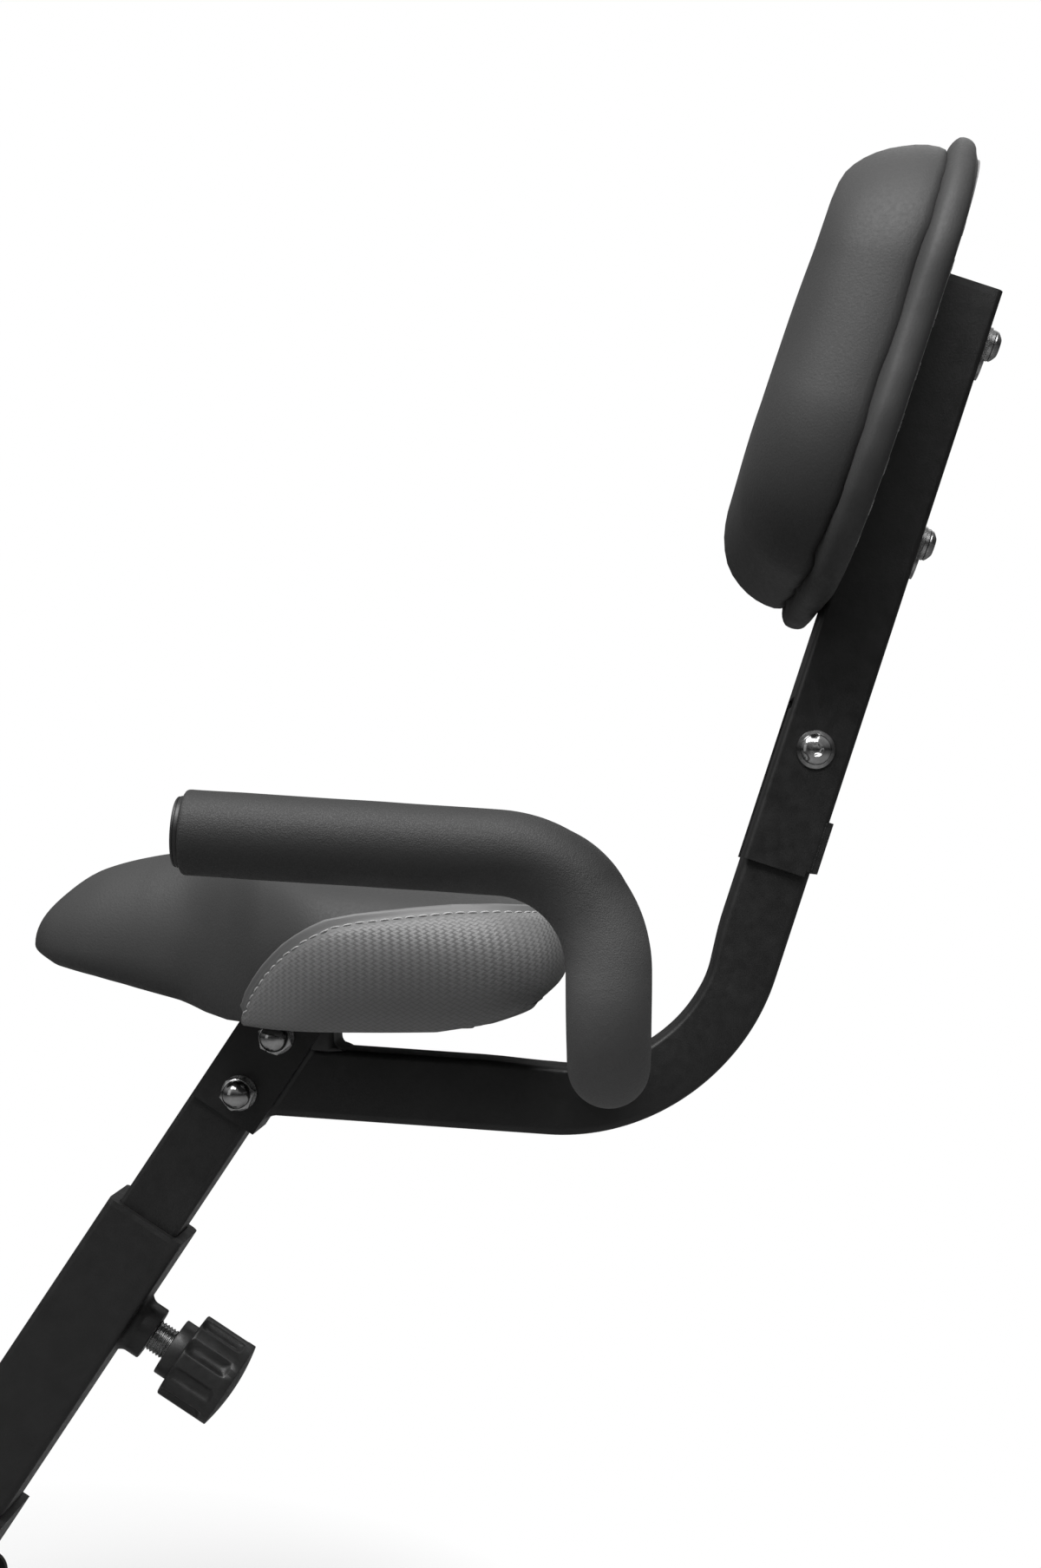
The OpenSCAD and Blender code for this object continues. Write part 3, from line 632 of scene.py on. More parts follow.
def build_panel(side):
    label = "near" if side < 0 else "far"
    flank = lay_panel(side)
    widest = [column[1 + UNDER_ROWS] for column in flank]
    along = np.cumsum([0] + [(b - a).length for a, b in zip(widest, widest[1:])])
    count = int(along[-1] / 0.9)
    grid, flat = [], []
    for a in np.linspace(0, along[-1], count):
        k = min(int(np.searchsorted(along, a, side="right")) - 1, len(flank) - 2)
        share = (a - along[k]) / (along[k + 1] - along[k])
        column = [p.lerp(q, share) for p, q in zip(flank[k], flank[k + 1])]
        place_x = column[1 + UNDER_ROWS].x
        limit = interpolate(PANEL_EDGE, place_x)
        heights = [p.z for p in column]
        lengths = np.cumsum([0] + [(q - p).length for p, q in zip(column, column[1:])])
        upward = range(1, 2 + UNDER_ROWS + SHOULDER_ROWS)
        top = float(np.interp(limit, [heights[i] for i in upward], [lengths[i] for i in upward]))
        spots = np.array([list(p) for p in column])
        row = []
        for b in np.linspace(0, top, PANEL_ROWS):
            row.append(Vector([float(np.interp(b, lengths, spots[:, i])) for i in range(3)]))
            flat.append((a, b))
        grid.append(row)
    flat = np.array(flat).reshape(count, PANEL_ROWS, 2)
    edge = np.vstack([flat[:, -1], flat[-1][::-1]])
    distance = np.full((count, PANEL_ROWS), 1e9)
    for p, q in zip(edge, edge[1:]):
        step = q - p
        size = float(step @ step)
        if size < 1e-12:
            continue
        t = np.clip(((flat - p) @ step) / size, 0, 1)
        gap = flat - (p + t[..., None] * step)
        distance = np.minimum(distance, np.hypot(gap[..., 0], gap[..., 1]))
    surface = np.array([[list(p) for p in row] for row in grid])
    d_along = np.gradient(surface, axis=0)
    d_up = np.gradient(surface, axis=1)
    normals = np.cross(d_along, d_up)
    size = np.linalg.norm(normals, axis=2, keepdims=True)
    normals = normals / np.maximum(size, 1e-9)
    middle = np.array([220.0, 0.0, 350.0])
    if float(np.sum((surface - middle) * normals)) < 0:
        normals = -normals
    lift = np.vectorize(panel_lift)(distance)
    raised = surface + normals * lift[..., None]
    points = [Vector(p) for p in raised.reshape(-1, 3)]
    piece = mesh_object(f"seat_panel_{label}", points, grid_faces(count, PANEL_ROWS, False), WORLD,
                        "seat_carriage", "panel_vinyl", crease=80, weld=False)
    fade = np.clip((distance - HEM_WIDTH - 1.0) / 3.0, 0, 1) * np.clip((flat[..., 1] - 5) / 14, 0, 1)
    depth = piece.data.attributes.new("weave_depth", "FLOAT", "POINT")
    depth.data.foreach_set("value", fade.reshape(-1).astype(np.float32))
    uv = piece.data.uv_layers.new(name="weave")
    place = flat.reshape(-1, 2) / (WEAVE_LONG, WEAVE_HIGH)
    for loop in piece.data.loops:
        uv.data[loop.index].uv = place[loop.vertex_index]
    return raised, normals, distance, flat


STITCH, STITCH_PITCH, THREAD_R = 4.9, 6.4, 0.5


def build_stitching(side, panel):
    """A row of separate stitches just inside the hem, each dipping into its two holes."""
    label = "near" if side < 0 else "far"
    raised, normals, distance, flat = panel
    line, ups = [], []
    for i in range(len(raised)):
        row = distance[i]
        if row.max() < HEM_WIDTH or flat[i][-1][0] > flat[-1][-1][0] - HEM_WIDTH:
            continue
        k = int(np.argmax(row[::-1] > HEM_WIDTH))
        j = len(row) - 1 - k
        line.append(Vector(raised[i][j]))
        ups.append(Vector(normals[i][j]))
    lengths = np.cumsum([0] + [(b - a).length for a, b in zip(line, line[1:])])
    spots, lifts = np.array([list(p) for p in line]), np.array([list(n) for n in ups])

    def sample(values, w):
        return Vector([float(np.interp(w, lengths, values[:, i])) for i in range(3)])

    parts = []
    for n in range(int(lengths[-1] / STITCH_PITCH)):
        start = n * STITCH_PITCH + 0.5
        route = []
        for i in range(7):
            w = start + STITCH * i / 6
            rise = 0.75 * sin(pi * i / 6) ** 0.6 - 0.3 if 0 < i < 6 else -0.5
            route.append(sample(spots, w) + sample(lifts, w) * rise)
        parts.append(shell(sweep(route, lambda share: circle_points(THREAD_R, 8))))
    points, faces = merged(*parts)
    mesh_object(f"seat_stitching_{label}", points, faces, WORLD, "seat_carriage", "thread", crease=60,
                weld=False)


for side in SIDES:
    laid = build_panel(side)
    build_stitching(side, laid)

# ----------------------------------------------------------------- back pad
PAD_HALF = 160
PAD_LOW, PAD_HIGH = 72, 325.5
PAD_CORNER = 92
PAD_BACK = -20
PAD_COLUMNS = 640
# (depth in front of the bracket, inset at the bottom, inset at the top)
PAD_BODY = [(17.2, 10.2, 10.2), (18.6, 9.0, 8.8), (22, 8.0, 8.4), (28, 8.2, 9.2), (34, 9.3, 11),
            (40, 11.4, 13.6), (46, 14.6, 16.6), (52, 19, 20.6), (57, 24.5, 25), (61, 31.5, 29.6),
            (64, 39, 34.5), (65.8, 46.5, 40.5), (66.8, 54, 49)]
PAD_CROWN = 68.6
CROWN_ROWS = 22


def pad_outline():
    """(point, inward normal) round the pad: y across and u up, seen from the front."""
    mid = (PAD_LOW + PAD_HIGH) / 2
    half_u = (PAD_HIGH - PAD_LOW) / 2
    spots = []
    corners = [(PAD_HALF, half_u, 0), (-PAD_HALF, half_u, 90), (-PAD_HALF, -half_u, 180),
               (PAD_HALF, -half_u, 270)]
    for y, u, start in corners:
        cy = y - PAD_CORNER if y > 0 else y + PAD_CORNER
        cu = u - PAD_CORNER if u > 0 else u + PAD_CORNER
        for k in range(41):
            a = radians(start + 90 * k / 40)
            spots.append(Vector((cy + PAD_CORNER * cos(a), cu + PAD_CORNER * sin(a))))
    even = evenly([(p.x, p.y, 0) for p in spots], PAD_COLUMNS, True)
    result = []
    for i, p in enumerate(even):
        along = (even[(i + 1) % PAD_COLUMNS] - even[i - 1]).normalized()
        inward = Vector((-along.y, along.x, 0))
        result.append((Vector((p.x, p.y + mid, 0)), inward))
    return result


def pucker(length):
    """Gathering of the edge roll along its length, from -1 to 1."""
    waves = 0.4 * sin(length / 8.3) + 0.35 * sin(length / 13.1 + 1.3)
    return waves + 0.8 * noise.noise((length / 16, 3.7, 0)) + 0.6 * noise.noise((length / 34, 9.1, 0))


def build_back_cover():
    outline = pad_outline()
    centre = Vector((0, (PAD_LOW + PAD_HIGH) / 2 - 6, 0))
    columns = []
    length = 0.0
    for i, (spot, inward) in enumerate(outline):
        length += (spot - outline[i - 1][0]).length if i else 0
        upper = smooth((1 - inward.y) / 2)
        gather = pucker(length)
        low_corner = np.exp(-((spot.y - PAD_LOW - 25) / 40) ** 2)
        gather *= 1 + 0.8 * low_corner
        crest = 3.4 * smooth((spot.y - PAD_HIGH + 60) / 60)
        rows = [(1.6, 26), (0.5, 25.6), (0.35, 24), (0.3, 12), (0.35 + 0.1 * crest, 9.5),
                (0.6 + 0.8 * crest, 5.5)]
        steps = 12
        for k in range(1, steps):
            angle = pi * k / steps
            swell = sin(angle) ** 0.75
            depth = 8.6 - 8.0 * cos(angle)
            thinned = depth + crest * (1 - depth / 17)
            rows.append((thinned, 6.5 - (6.5 + 0.6 * gather) * swell + 1.8 * smooth((depth - 12) / 5)))
        rows += [(d + 0.9 * gather * np.exp(-(d - 17) / 4), low + (high - low) * upper)
                 for d, low, high in PAD_BODY]
        column = [(spot + inward * inset, depth) for depth, inset in rows]
        rim, rim_depth = column[-1]
        for k in range(1, CROWN_ROWS + 1):
            share = k / CROWN_ROWS
            crown = (PAD_CROWN - rim_depth) * sin(pi / 2 * share)
            column.append((rim.lerp(centre, share), rim_depth + crown))
        columns.append([Vector((PAD_BACK - depth, p.x, p.y)) for p, depth in column])
    for column in columns:
        for k, p in enumerate(column):
            if k > 18:
                column[k] = p + Vector((-soft_waves(p, 0.8, 60), 0, 0))
    rows = len(columns[0])
    rings = [[column[k] for column in columns] for k in range(rows)]
    points = [p for ring in rings for p in ring]
    cover = mesh_object("back_cover", points, grid_faces(rows, len(columns)), BACK, "backrest", "vinyl",
                        ["back_cushion"], crease=80)


build_back_cover()


def build_back_lining():
    """The dust cover over the board's rear face, its turned hem under the staples."""
    outline = pad_outline()
    rings = []
    for inset, depth in [(14, 0.9), (13.2, 0.5), (13.6, -0.05), (15, -0.12), (19, -0.12), (19.6, 0.05),
                         (21, 0.08), (50, 0.02), (80, 0.02)]:
        ring = []
        for i, (spot, inward) in enumerate(outline):
            wave = 0.25 * noise.noise((i / 9, inset / 10, 0)) if inset < 20 else 0
            p = spot + inward * (inset + wave)
            ring.append(Vector((PAD_BACK - depth, p.x, p.y)))
        rings.append(ring)
    points, faces = shell(rings, caps=False)
    faces.append(tuple(range(len(points) - PAD_COLUMNS, len(points))))
    mesh_object("back_lining", points, faces, BACK, "backrest", "backing_cloth", crease=60)


build_back_lining()


def staple(width=10.0, wire=0.55):
    """One staple's visible crown, lying along x on the plane z=0."""
    route = [(-width / 2, 0, -1.2), (-width / 2, 0, 0), (-width / 2 + 0.5, 0, 0.35), (0, 0, 0.4),
             (width / 2 - 0.5, 0, 0.35), (width / 2, 0, 0), (width / 2, 0, -1.2)]
    return shell(sweep(route, lambda share: circle_points(wire / 2, 8)))


def build_back_staples():
    outline = pad_outline()
    parts = []
    step = PAD_COLUMNS // 34
    for n in range(34):
        spot, inward = outline[n * step]
        if abs(spot.x) < 30:
            continue
        tilt = 0.12 * noise.noise((n * 3.1, 0.5, 0))
        p = spot + inward * (16.8 + 0.8 * noise.noise((n * 1.7, 0, 0)))
        turn = atan2(inward.x, -inward.y) + tilt
        facing = Matrix(((0, 0, 1, 0), (1, 0, 0, 0), (0, 1, 0, 0), (0, 0, 0, 1)))
        place = at(PAD_BACK + 0.12, p.x, p.y) @ facing @ Matrix.Rotation(turn, 4, "Z")
        points, faces = staple()
        parts.append((moved(points, place), faces))
    points, faces = merged(*parts)
    mesh_object("back_staples", points, faces, BACK, "backrest", "zinc_steel", crease=60, weld=False)


build_back_staples()


def build_seat_staples():
    """Staples through the seat cover's hem into the underside of the base."""
    parts = []
    columns = seat_cover_columns
    for n in range(0, len(columns), 13):
        hem, inner = columns[n][3], columns[n][2]
        if hem.x < NOSE_X + 98:
            continue
        along = (columns[(n + 1) % len(columns)][3] - columns[n - 1][3]).normalized()
        spot = hem.lerp(inner, 0.62)
        down = Vector((0, 0, -1))
        side = down.cross(along)
        turn = Matrix((along, side, down)).transposed().to_4x4()
        points, faces = staple()
        parts.append((moved(points, at(spot.x, spot.y, spot.z - 0.05) @ turn), faces))
    points, faces = merged(*parts)
    mesh_object("seat_staples", points, faces, WORLD, "seat_carriage", "zinc_steel", crease=60, weld=False)


build_seat_staples()

# -------------------------------------------------------------- foam grips
# The handlebar's cross bar, the corners over it and the bends between; the grips start at GRIP_REACH.
BAR_X, BAR_Z = 359.2, 308.4
CORNER_Z, GRIP_Y = 411.3, 190
GRIP_REACH, GRIP_RISE = 202.2, radians(3.7)
UPPER_BEND, LOWER_BEND = 56, 45
GRIP_R, FOAM_BORE = 20.5, 12.7
FOAM_EDGE = 2.2
FOAM_END_Y = 120


def grip_route(side):
    """The handlebar's centreline from the grip's front end to where the foam stops on the cross bar."""
    turn = pi / 2 - GRIP_RISE
    tangent = UPPER_BEND * tan(turn / 2)
    forward = Vector((-cos(GRIP_RISE), 0, sin(GRIP_RISE)))
    corner = Vector((BAR_X, GRIP_Y, CORNER_Z))
    front, bend_start = corner + forward * GRIP_REACH, corner + forward * tangent
    route = [front.lerp(bend_start, k / 36) for k in range(36)]
    leg_top = corner - Vector((0, 0, tangent))
    centre = leg_top - Vector((UPPER_BEND, 0, 0))
    for k in range(25):
        a = turn * (1 - k / 24)
        route.append(centre + Vector((cos(a), 0, sin(a))) * UPPER_BEND)
    leg_foot = Vector((BAR_X, GRIP_Y, BAR_Z + LOWER_BEND))
    route += [leg_top.lerp(leg_foot, k / 5) for k in range(1, 5)]
    centre = leg_foot - Vector((0, LOWER_BEND, 0))
    for k in range(25):
        a = pi / 2 * k / 24
        route.append(centre + Vector((0, cos(a), -sin(a))) * LOWER_BEND)
    last = Vector((BAR_X, FOAM_END_Y, BAR_Z))
    foot = route[-1]
    route += [foot.lerp(last, k / 6) for k in range(1, 7)]
    return [Vector((p.x, side * p.y, p.z)) for p in route]


def foam_sleeve(side):
    """The foam tube, with pressed edges at both ends and its bore open over the bar."""
    route = evenly(grip_route(side), 150)
    rims = sweep(route, lambda share: circle_points(1, 64))
    aims = [[p - centre for p in rim] for centre, rim in zip(route, rims)]
    lip = [(6, FOAM_BORE - 0.2), (0.4, FOAM_BORE), (0, FOAM_BORE + 0.5)]
    lip += [(depth, GRIP_R - drop) for drop, depth in ((2.2, 0.0), (1.2, 0.15), (0.5, 0.6), (0.12, 1.3))]

    def end_rings(end, step):
        along = (route[end + step] - route[end]).normalized()
        return [[route[end] + along * depth + aim * radius for aim in aims[end]] for depth, radius in lip]

    rings = end_rings(0, 1)
    for centre, around in zip(route, aims):
        if min((centre - route[0]).length, (centre - route[-1]).length) < FOAM_EDGE:
            continue
        rings.append([centre + aim * (GRIP_R + 0.18 * noise.noise((centre + aim * GRIP_R) / 22))
                      for aim in around])
    rings += reversed(end_rings(len(route) - 1, -1))
    return shell(rings, caps=False)


for side, label in zip(SIDES, ("left", "right")):
    points, faces = foam_sleeve(side)
    sleeve = mesh_object(f"foam_grip_{label}", points, faces, WORLD, "seat_carriage", "grip_foam",
                         [f"grip_{label}"], crease=60)

CAP_ROWS = [(-15, 10.9), (-15, 11.1), (0, 11.15), (0, 16.6), (0.15, 17.0), (0.5, 17.2), (1.9, 17.2),
            (2.2, 17.1), (2.35, 16.85), (2.45, 16.5), (2.6, 16.5), (2.7, 16.8), (3.1, 16.9), (3.5, 16.75),
            (3.8, 16.4)]
CAP_ROWS += dome_rows(3.9, 16.0, 1.2)[1:]
for side, label in zip(SIDES, ("left", "right")):
    forwards = Matrix.Rotation(GRIP_RISE - pi / 2, 4, "Y")
    cap_place = WORLD @ at(BAR_X, side * GRIP_Y, CORNER_Z) @ forwards @ at(0, 0, GRIP_REACH)
    mesh_object(f"end_cap_{label}", *turned(CAP_ROWS), cap_place, "seat_carriage", "black_plastic",
                [f"grip_cap_{label}"], crease=50)

# --------------------------------------------------------------- fasteners
BOLT_R = 5


def at_all(part, places):
    points, faces = part
    return merged(*[(moved(points, place), faces) for place in places])


def hex_bolt(head, height, shank):
    """Hex head up +z from the seating face at 0, shank down -z with a chamfered end."""
    rows = [(-shank, 3.6), (-shank + 0.9, BOLT_R - 0.1), (-0.2, BOLT_R - 0.1)]
    rows += [(0, head * 0.46), (0.4, head * 0.47)]
    rows += hex_rows(head, 0.45, height)
    rows += [(height, head * 0.42), (height - 0.25, head * 0.38), (height - 0.3, 0)]
    return turned(rows)


def acorn_nut():
    """Hexagon with a turned neck and a polished dome, bore at z=0."""
    rows = [(1.0, BOLT_R), (0, BOLT_R + 0.7), (0, 7.6), (0.35, 7.9)] + hex_rows(17, 0.4, 7, True)
    rows += [(7.05, 7.9), (7.4, 7.75), (8.2, 7.75)]
    for i in range(1, 13):
        a = pi / 2 * i / 12
        rows.append((8.6 + 6.9 * sin(a), 7.8 * cos(a) ** 0.9))
    return turned(rows)


def button_screw(shank):
    """Rounded socket head up +z from the seating face at 0, shank down -z."""
    rows = [(-shank, 3.6), (-shank + 0.9, BOLT_R - 0.1), (0, BOLT_R - 0.1), (0, 8.3), (0.3, 8.7), (1.0, 8.75)]
    rows += [(z, r) for z, r in dome_rows(1.0, 8.75, 4.2, 16)[1:] if r > 4.2]
    rim = rows[-1][0]
    rows += [(rim - 0.05, 3.8), hexagonal(6, rim - 0.35, 3.5), hexagonal(6, 2.4, 3.5), (2.0, 2.2), (1.9, 0)]
    return turned(rows)


def spring_washer(outer, inner, thick):
    """A split ring, its ends a little out of line."""
    count = 60
    rings = []
    half = thick / 2 - 0.12
    mid, reach = (outer + inner) / 2, (outer - inner) / 2
    section = [(-reach + 0.25, -half), (reach - 0.25, -half), (reach, -half + 0.25), (reach, half - 0.25),
               (reach - 0.25, half), (-reach + 0.25, half), (-reach, half - 0.25), (-reach, -half + 0.25)]
    for i in range(count + 1):
        share = i / count
        a = radians(6) + (2 * pi - radians(12)) * share
        rise = thick / 2 + 0.2 * (share - 0.5)
        lean = 0.25 * (abs(share - 0.5) > 0.49)
        rings.append([((mid + x) * cos(a + lean * 0.05 * z), (mid + x) * sin(a + lean * 0.05 * z), rise + z)
                      for x, z in section])
    return shell(rings)


def socket_button():
    """The pivot bolt's flanged button head and its hexagon socket, over a plain shank."""
    rows = [(-58, 4.0), (-57, BOLT_R), (0, BOLT_R), (0, 10.5), (0.35, 10.9), (1.1, 10.9), (1.55, 10.6),
            (1.75, 9.6), (1.95, 8.75), (2.5, 8.55), (3.1, 8.3), (3.7, 7.7), (4.3, 6.8), (4.8, 5.8),
            (5.2, 4.6), (5.35, 4.1)]
    rows += [(5.2, 3.75), hexagonal(6, 4.95, 3.6), hexagonal(6, 2.6, 3.6), (2.1, 2.4), (1.9, 1.2), (1.85, 0)]
    return turned(rows)


def fit(name, part, places, frame_of, body, slot, node):
    """One piece of a fastener repeated at its places, standing for its CAD node."""
    mesh_object(name, *at_all(part, places), frame_of, body, slot, [node], crease=32)


def spun(degrees):
    return Matrix.Rotation(radians(degrees), 4, "Z")


CHANNEL_HALF = 22.5
CROSS_BOLTS = [(4, 319.9), (4, 357.3)]
fit("dome_nuts", acorn_nut(),
    [at(x, -CHANNEL_HALF - 2, z) @ sideways(-1) @ spun(turn) for (x, z), turn in zip(CROSS_BOLTS, (12, 41))],
    POST, "seat_carriage", "bright_steel", "carriage_acorn_nuts")
fit("cross_bolts", hex_bolt(16, 6.4, 2 * CHANNEL_HALF + 12),
    [at(x, CHANNEL_HALF + 2, z) @ sideways(1) @ spun(turn) for (x, z), turn in zip(CROSS_BOLTS, (25, 5))],
    POST, "seat_carriage", "zinc_steel", "carriage_bolts")

BRACKET_HALF_DEPTH, PLATE_WASHER, SPRING_WASHER = 20, 3, 2.5
BACK_BOLTS = (131, 249.2)
washer_x = BRACKET_HALF_DEPTH + PLATE_WASHER
head_x = washer_x + SPRING_WASHER
fit("pad_bolts", button_screw(57),
    [at(head_x, 0, z) @ REARWARDS @ spun(turn) for z, turn in zip(BACK_BOLTS, (20, 44))],
    BACK, "backrest", "zinc_steel", "back_bolts")
fit("split_washers", spring_washer(9, BOLT_R + 0.1, SPRING_WASHER),
    [at(washer_x, 0, z) @ REARWARDS @ spun(turn) for z, turn in zip(BACK_BOLTS, (200, 140))],
    BACK, "backrest", "zinc_steel", "back_spring_washers")

CHEEK_Y = 23
fit("pivot_screw", socket_button(), [at(0, -CHEEK_Y, 0) @ sideways(-1)],
    BACK, "backrest", "bright_steel", "pivot_bolt")
nut_rows = [(1, BOLT_R), (0, BOLT_R + 0.6), (0, 7.8)] + hex_rows(17, 0.3, 7.5, True)
nut_rows += [(7.55, 7.6), (9.4, 7.2), (9.9, 6.6), (9.9, 5.6), (9.0, BOLT_R)]
fit("lock_nut", turned(nut_rows), [at(0, CHEEK_Y + 2, 0) @ sideways(1)],
    BACK, "backrest", "zinc_steel", "pivot_nut")

SEAT_BOLT_X, SEAT_BOLT_Y, PLATE_LOW = (205, 280), 32, 323.7
HEAD_DOWN = Matrix.Rotation(pi, 4, "X")
small_bolt = [(-16, 2.2), (-15.3, 2.9), (-0.1, 2.9), (0, 4.7), (0.25, 4.8)] + hex_rows(10, 0.3, 4)
small_bolt += [(4, 4.2), (3.85, 3.8), (3.8, 0)]
fit("seat_screws", turned(small_bolt),
    [at(x, side * SEAT_BOLT_Y, PLATE_LOW - 1.6) @ HEAD_DOWN @ Matrix.Rotation(x * 0.7 + side, 4, "Z")
     for x in SEAT_BOLT_X for side in SIDES],
    WORLD, "seat_carriage", "zinc_steel", "seat_bolts")

# -------------------------------------------------------------------- knob
KNOB_AT = 175.2
KNOB = POST @ at(0, 0, KNOB_AT) @ REARWARDS
FLUTES, FLUTE_R, FLUTE_AT, KNOB_R = 9, 6, 28.4, 25.2


def fluted(radius, cut):
    """Radius round the knob: ribs at the full radius, flutes cut by the given share."""
    def at_angle(a):
        off = (a + pi / FLUTES) % (2 * pi / FLUTES) - pi / FLUTES
        across = FLUTE_AT * sin(off)
        inside = FLUTE_R * FLUTE_R - across * across
        if inside <= 0:
            return radius
        floor = FLUTE_AT * cos(off) - sqrt(inside)
        if floor >= radius:
            return radius
        blend = 1 - np.exp(-(radius - floor) / 0.9)
        return radius - (radius - floor) * cut * blend
    return at_angle


def build_knob():
    """The fluted knob: a recess round the stud, ribs that fade into plain rims, and a domed face."""
    rows = [(60, 0), (60, 9), (49.2, 9.1), (49, 10), (49, 16.0), (49.15, 16.5), (49.6, 16.8), (56.6, 16.8),
            (57, 17.4), (57, 22.8), (57.15, 24.2), (57.6, fluted(24.9, 0.0))]
    rows += [(z, fluted(KNOB_R, cut)) for z, cut in (
        (58.2, 0.25), (59.2, 0.7), (60.6, 0.93), (62, 1.0), (66, 1.0), (72, 1.0), (78, 1.0), (80, 0.98),
        (81.5, 0.9), (82.7, 0.7), (83.6, 0.42), (84.3, 0.15), (84.8, 0))]
    rows += [(88.9, KNOB_R), (89.2, 25.1), (89.4, 24.8)] + dome_rows(89.4, 24.8, 2.9, 14)[1:]
    mesh_object("knob_body", *turned(rows, 216), KNOB, "knob", "black_plastic", ["knob_grip", "knob_cap"],
                crease=35)


build_knob()


def thread(low, high, radius, depth, pitch, columns=56):
    """A screw thread as one skin: the ridge runs up by a pitch each turn."""
    step = pitch / 9
    count = int((high - low) / step)
    rings = []
    for i in range(count + 1):
        z = low + (high - low) * i / count
        fade = min(1.0, (high - z) / 1.2 + 0.1)
        ring = []
        for j in range(columns):
            a = 2 * pi * j / columns
            phase = (z / pitch - a / (2 * pi)) % 1.0
            ridge = 1 - abs(2 * phase - 1)
            ridge = min(max(1.25 * ridge - 0.1, 0), 1)
            r = radius - depth * (1 - ridge * fade)
            ring.append((r * cos(a), r * sin(a), z))
        rings.append(ring)
    return rings


def build_stud():
    """The stud's thread outside and the pin's bore inside."""
    low, high, inner = 32.5, 59.6, 5.05
    rings = thread(low, high, 9.0, 0.9, 2.0)
    rings += [[(x, y, z) for x, y in circle_points(inner, len(rings[0]))] for z in (high, low)]
    mesh_object("threaded_stud", *shell(rings, close=True), KNOB, "knob", "zinc_steel", ["knob_stud"],
                crease=70)


build_stud()


def build_weld_nut():
    """The knob's nut, flared into the tube by its weld."""
    base, high = 24, 37.2
    rows = [(high, 9.2), (base - 0.3, 9.2)]
    for i in range(11):
        a = pi / 2 * i / 10
        rows.append((base - 0.3 + 5.6 * (1 - cos(a)), 15.5 + 5.4 * (1 - sin(a))))
    rows += [(high - 0.8, 15.5), (high - 0.2, 15.2), (high, 14.6), (high, 9.9)]
    rings = []
    columns = 96
    for z, r in rows:
        ring = []
        for j in range(columns):
            a = 2 * pi * j / columns
            melt = smooth((base + 6 - z) / 5) if r > 10 else 0
            q = r + melt * (0.35 * abs(sin(a * 17)) + 0.7 * noise.noise((cos(a) * 2.2, sin(a) * 2.2, 4)))
            ring.append((q * cos(a), q * sin(a), z))
        rings.append(ring)
    points, faces = shell(rings, close=True)
    mesh_object("weld_nut", points, faces, KNOB, "main_tube", "black_paint", ["knob_weld_nut"], crease=40)


build_weld_nut()

# -------------------------------------------------------------- weld beads
FRAME_HALF, FRAME_CORNER = 19, 4


def square_loop(half_a, half_b, corner, steps=5):
    spots = []
    for a, b, start in ((1, 1, 0), (-1, 1, 90), (-1, -1, 180), (1, -1, 270)):
        for k in range(steps + 1):
            t = radians(start + 90 * k / steps)
            spots.append((a * (half_a - corner) + corner * cos(t), b * (half_b - corner) + corner * sin(t)))
    return spots


WEB_X = 23
FRAME_TOP, BEND_TOP, BEND_R = 18, -128.1, 105
PRESSED_IN, DEEPENED = 3.9, 1.3
BEND_TURN = radians(75.9)
TO_POST = POST.inverted() @ BACK


def frame_section(squeeze, deepen):
    """The square tube's section as (y, outward) points, its inner wall pressed in by squeeze."""
    section = []
    for y, b in square_loop(FRAME_HALF, FRAME_HALF, FRAME_CORNER, 8):
        flat = max(0.0, -b / FRAME_HALF)
        middle = cos(pi / 2 * min(abs(y) / FRAME_HALF, 1))
        outward = b + squeeze * flat ** 1.5 * (0.62 + 0.38 * middle) + deepen * max(0.0, b / FRAME_HALF)
        bulge = 0.28 * squeeze * smooth(1 - abs(b + 8) / 12)
        section.append((y + (bulge if y > 0 else -bulge), outward))
    return section


def build_frame_tube():
    """The bent tube: straight leg, pressed bend and the run that meets the channel's web."""
    rings = []

    def add_ring(x, z, angle, squeeze=0.0, deepen=0.0):
        out = Vector((cos(angle), 0, -sin(angle)))
        rings.append([Vector((x, 0, z)) + Vector((0, y, 0)) + out * b
                      for y, b in frame_section(squeeze, deepen)])

    for z in np.linspace(FRAME_TOP, BEND_TOP, 26):
        add_ring(0, z, 0, PRESSED_IN * smooth((BEND_TOP + 26 - z) / 44))
    for angle in np.linspace(0, BEND_TURN, 42)[1:]:
        share = angle / BEND_TURN
        press = PRESSED_IN * smooth(0.59 + share * 3) * smooth((1.35 - share) / 0.75)
        add_ring(BEND_R * (cos(angle) - 1), BEND_TOP - BEND_R * sin(angle), angle,
                 press + 0.35 * noise.noise((share * 5, 2, 0)), DEEPENED * smooth(share * 1.4 - 0.4))
    run = Vector((-sin(BEND_TURN), 0, -cos(BEND_TURN)))
    out = Vector((cos(BEND_TURN), 0, -sin(BEND_TURN)))
    elbow = Vector((BEND_R * (cos(BEND_TURN) - 1), 0, BEND_TOP - BEND_R * sin(BEND_TURN)))
    last_press = PRESSED_IN * smooth(0.35 / 0.75)
    end = []
    towards = TO_POST.to_3x3() @ run
    for share in (0.04, 0.09, 0.15, 0.22, 0.3, 0.4, 0.55, 0.7, 0.85, 1.0):
        ring = []
        for y, b in frame_section(last_press * smooth(1 - share / 0.3), DEEPENED):
            start = elbow + out * b + Vector((0, y, 0))
            reach = (WEB_X + 0.05 - (TO_POST @ start).x) / towards.x
            ring.append(start + run * reach * share)
        rings.append(ring)
        end = ring
    points, faces = shell(rings)
    mesh_object("frame_tube_bent", points, faces, BACK, "seat_carriage", "black_paint", ["frame_tube"],
                crease=50)
    return [TO_POST @ p for p in end], -towards.normalized()


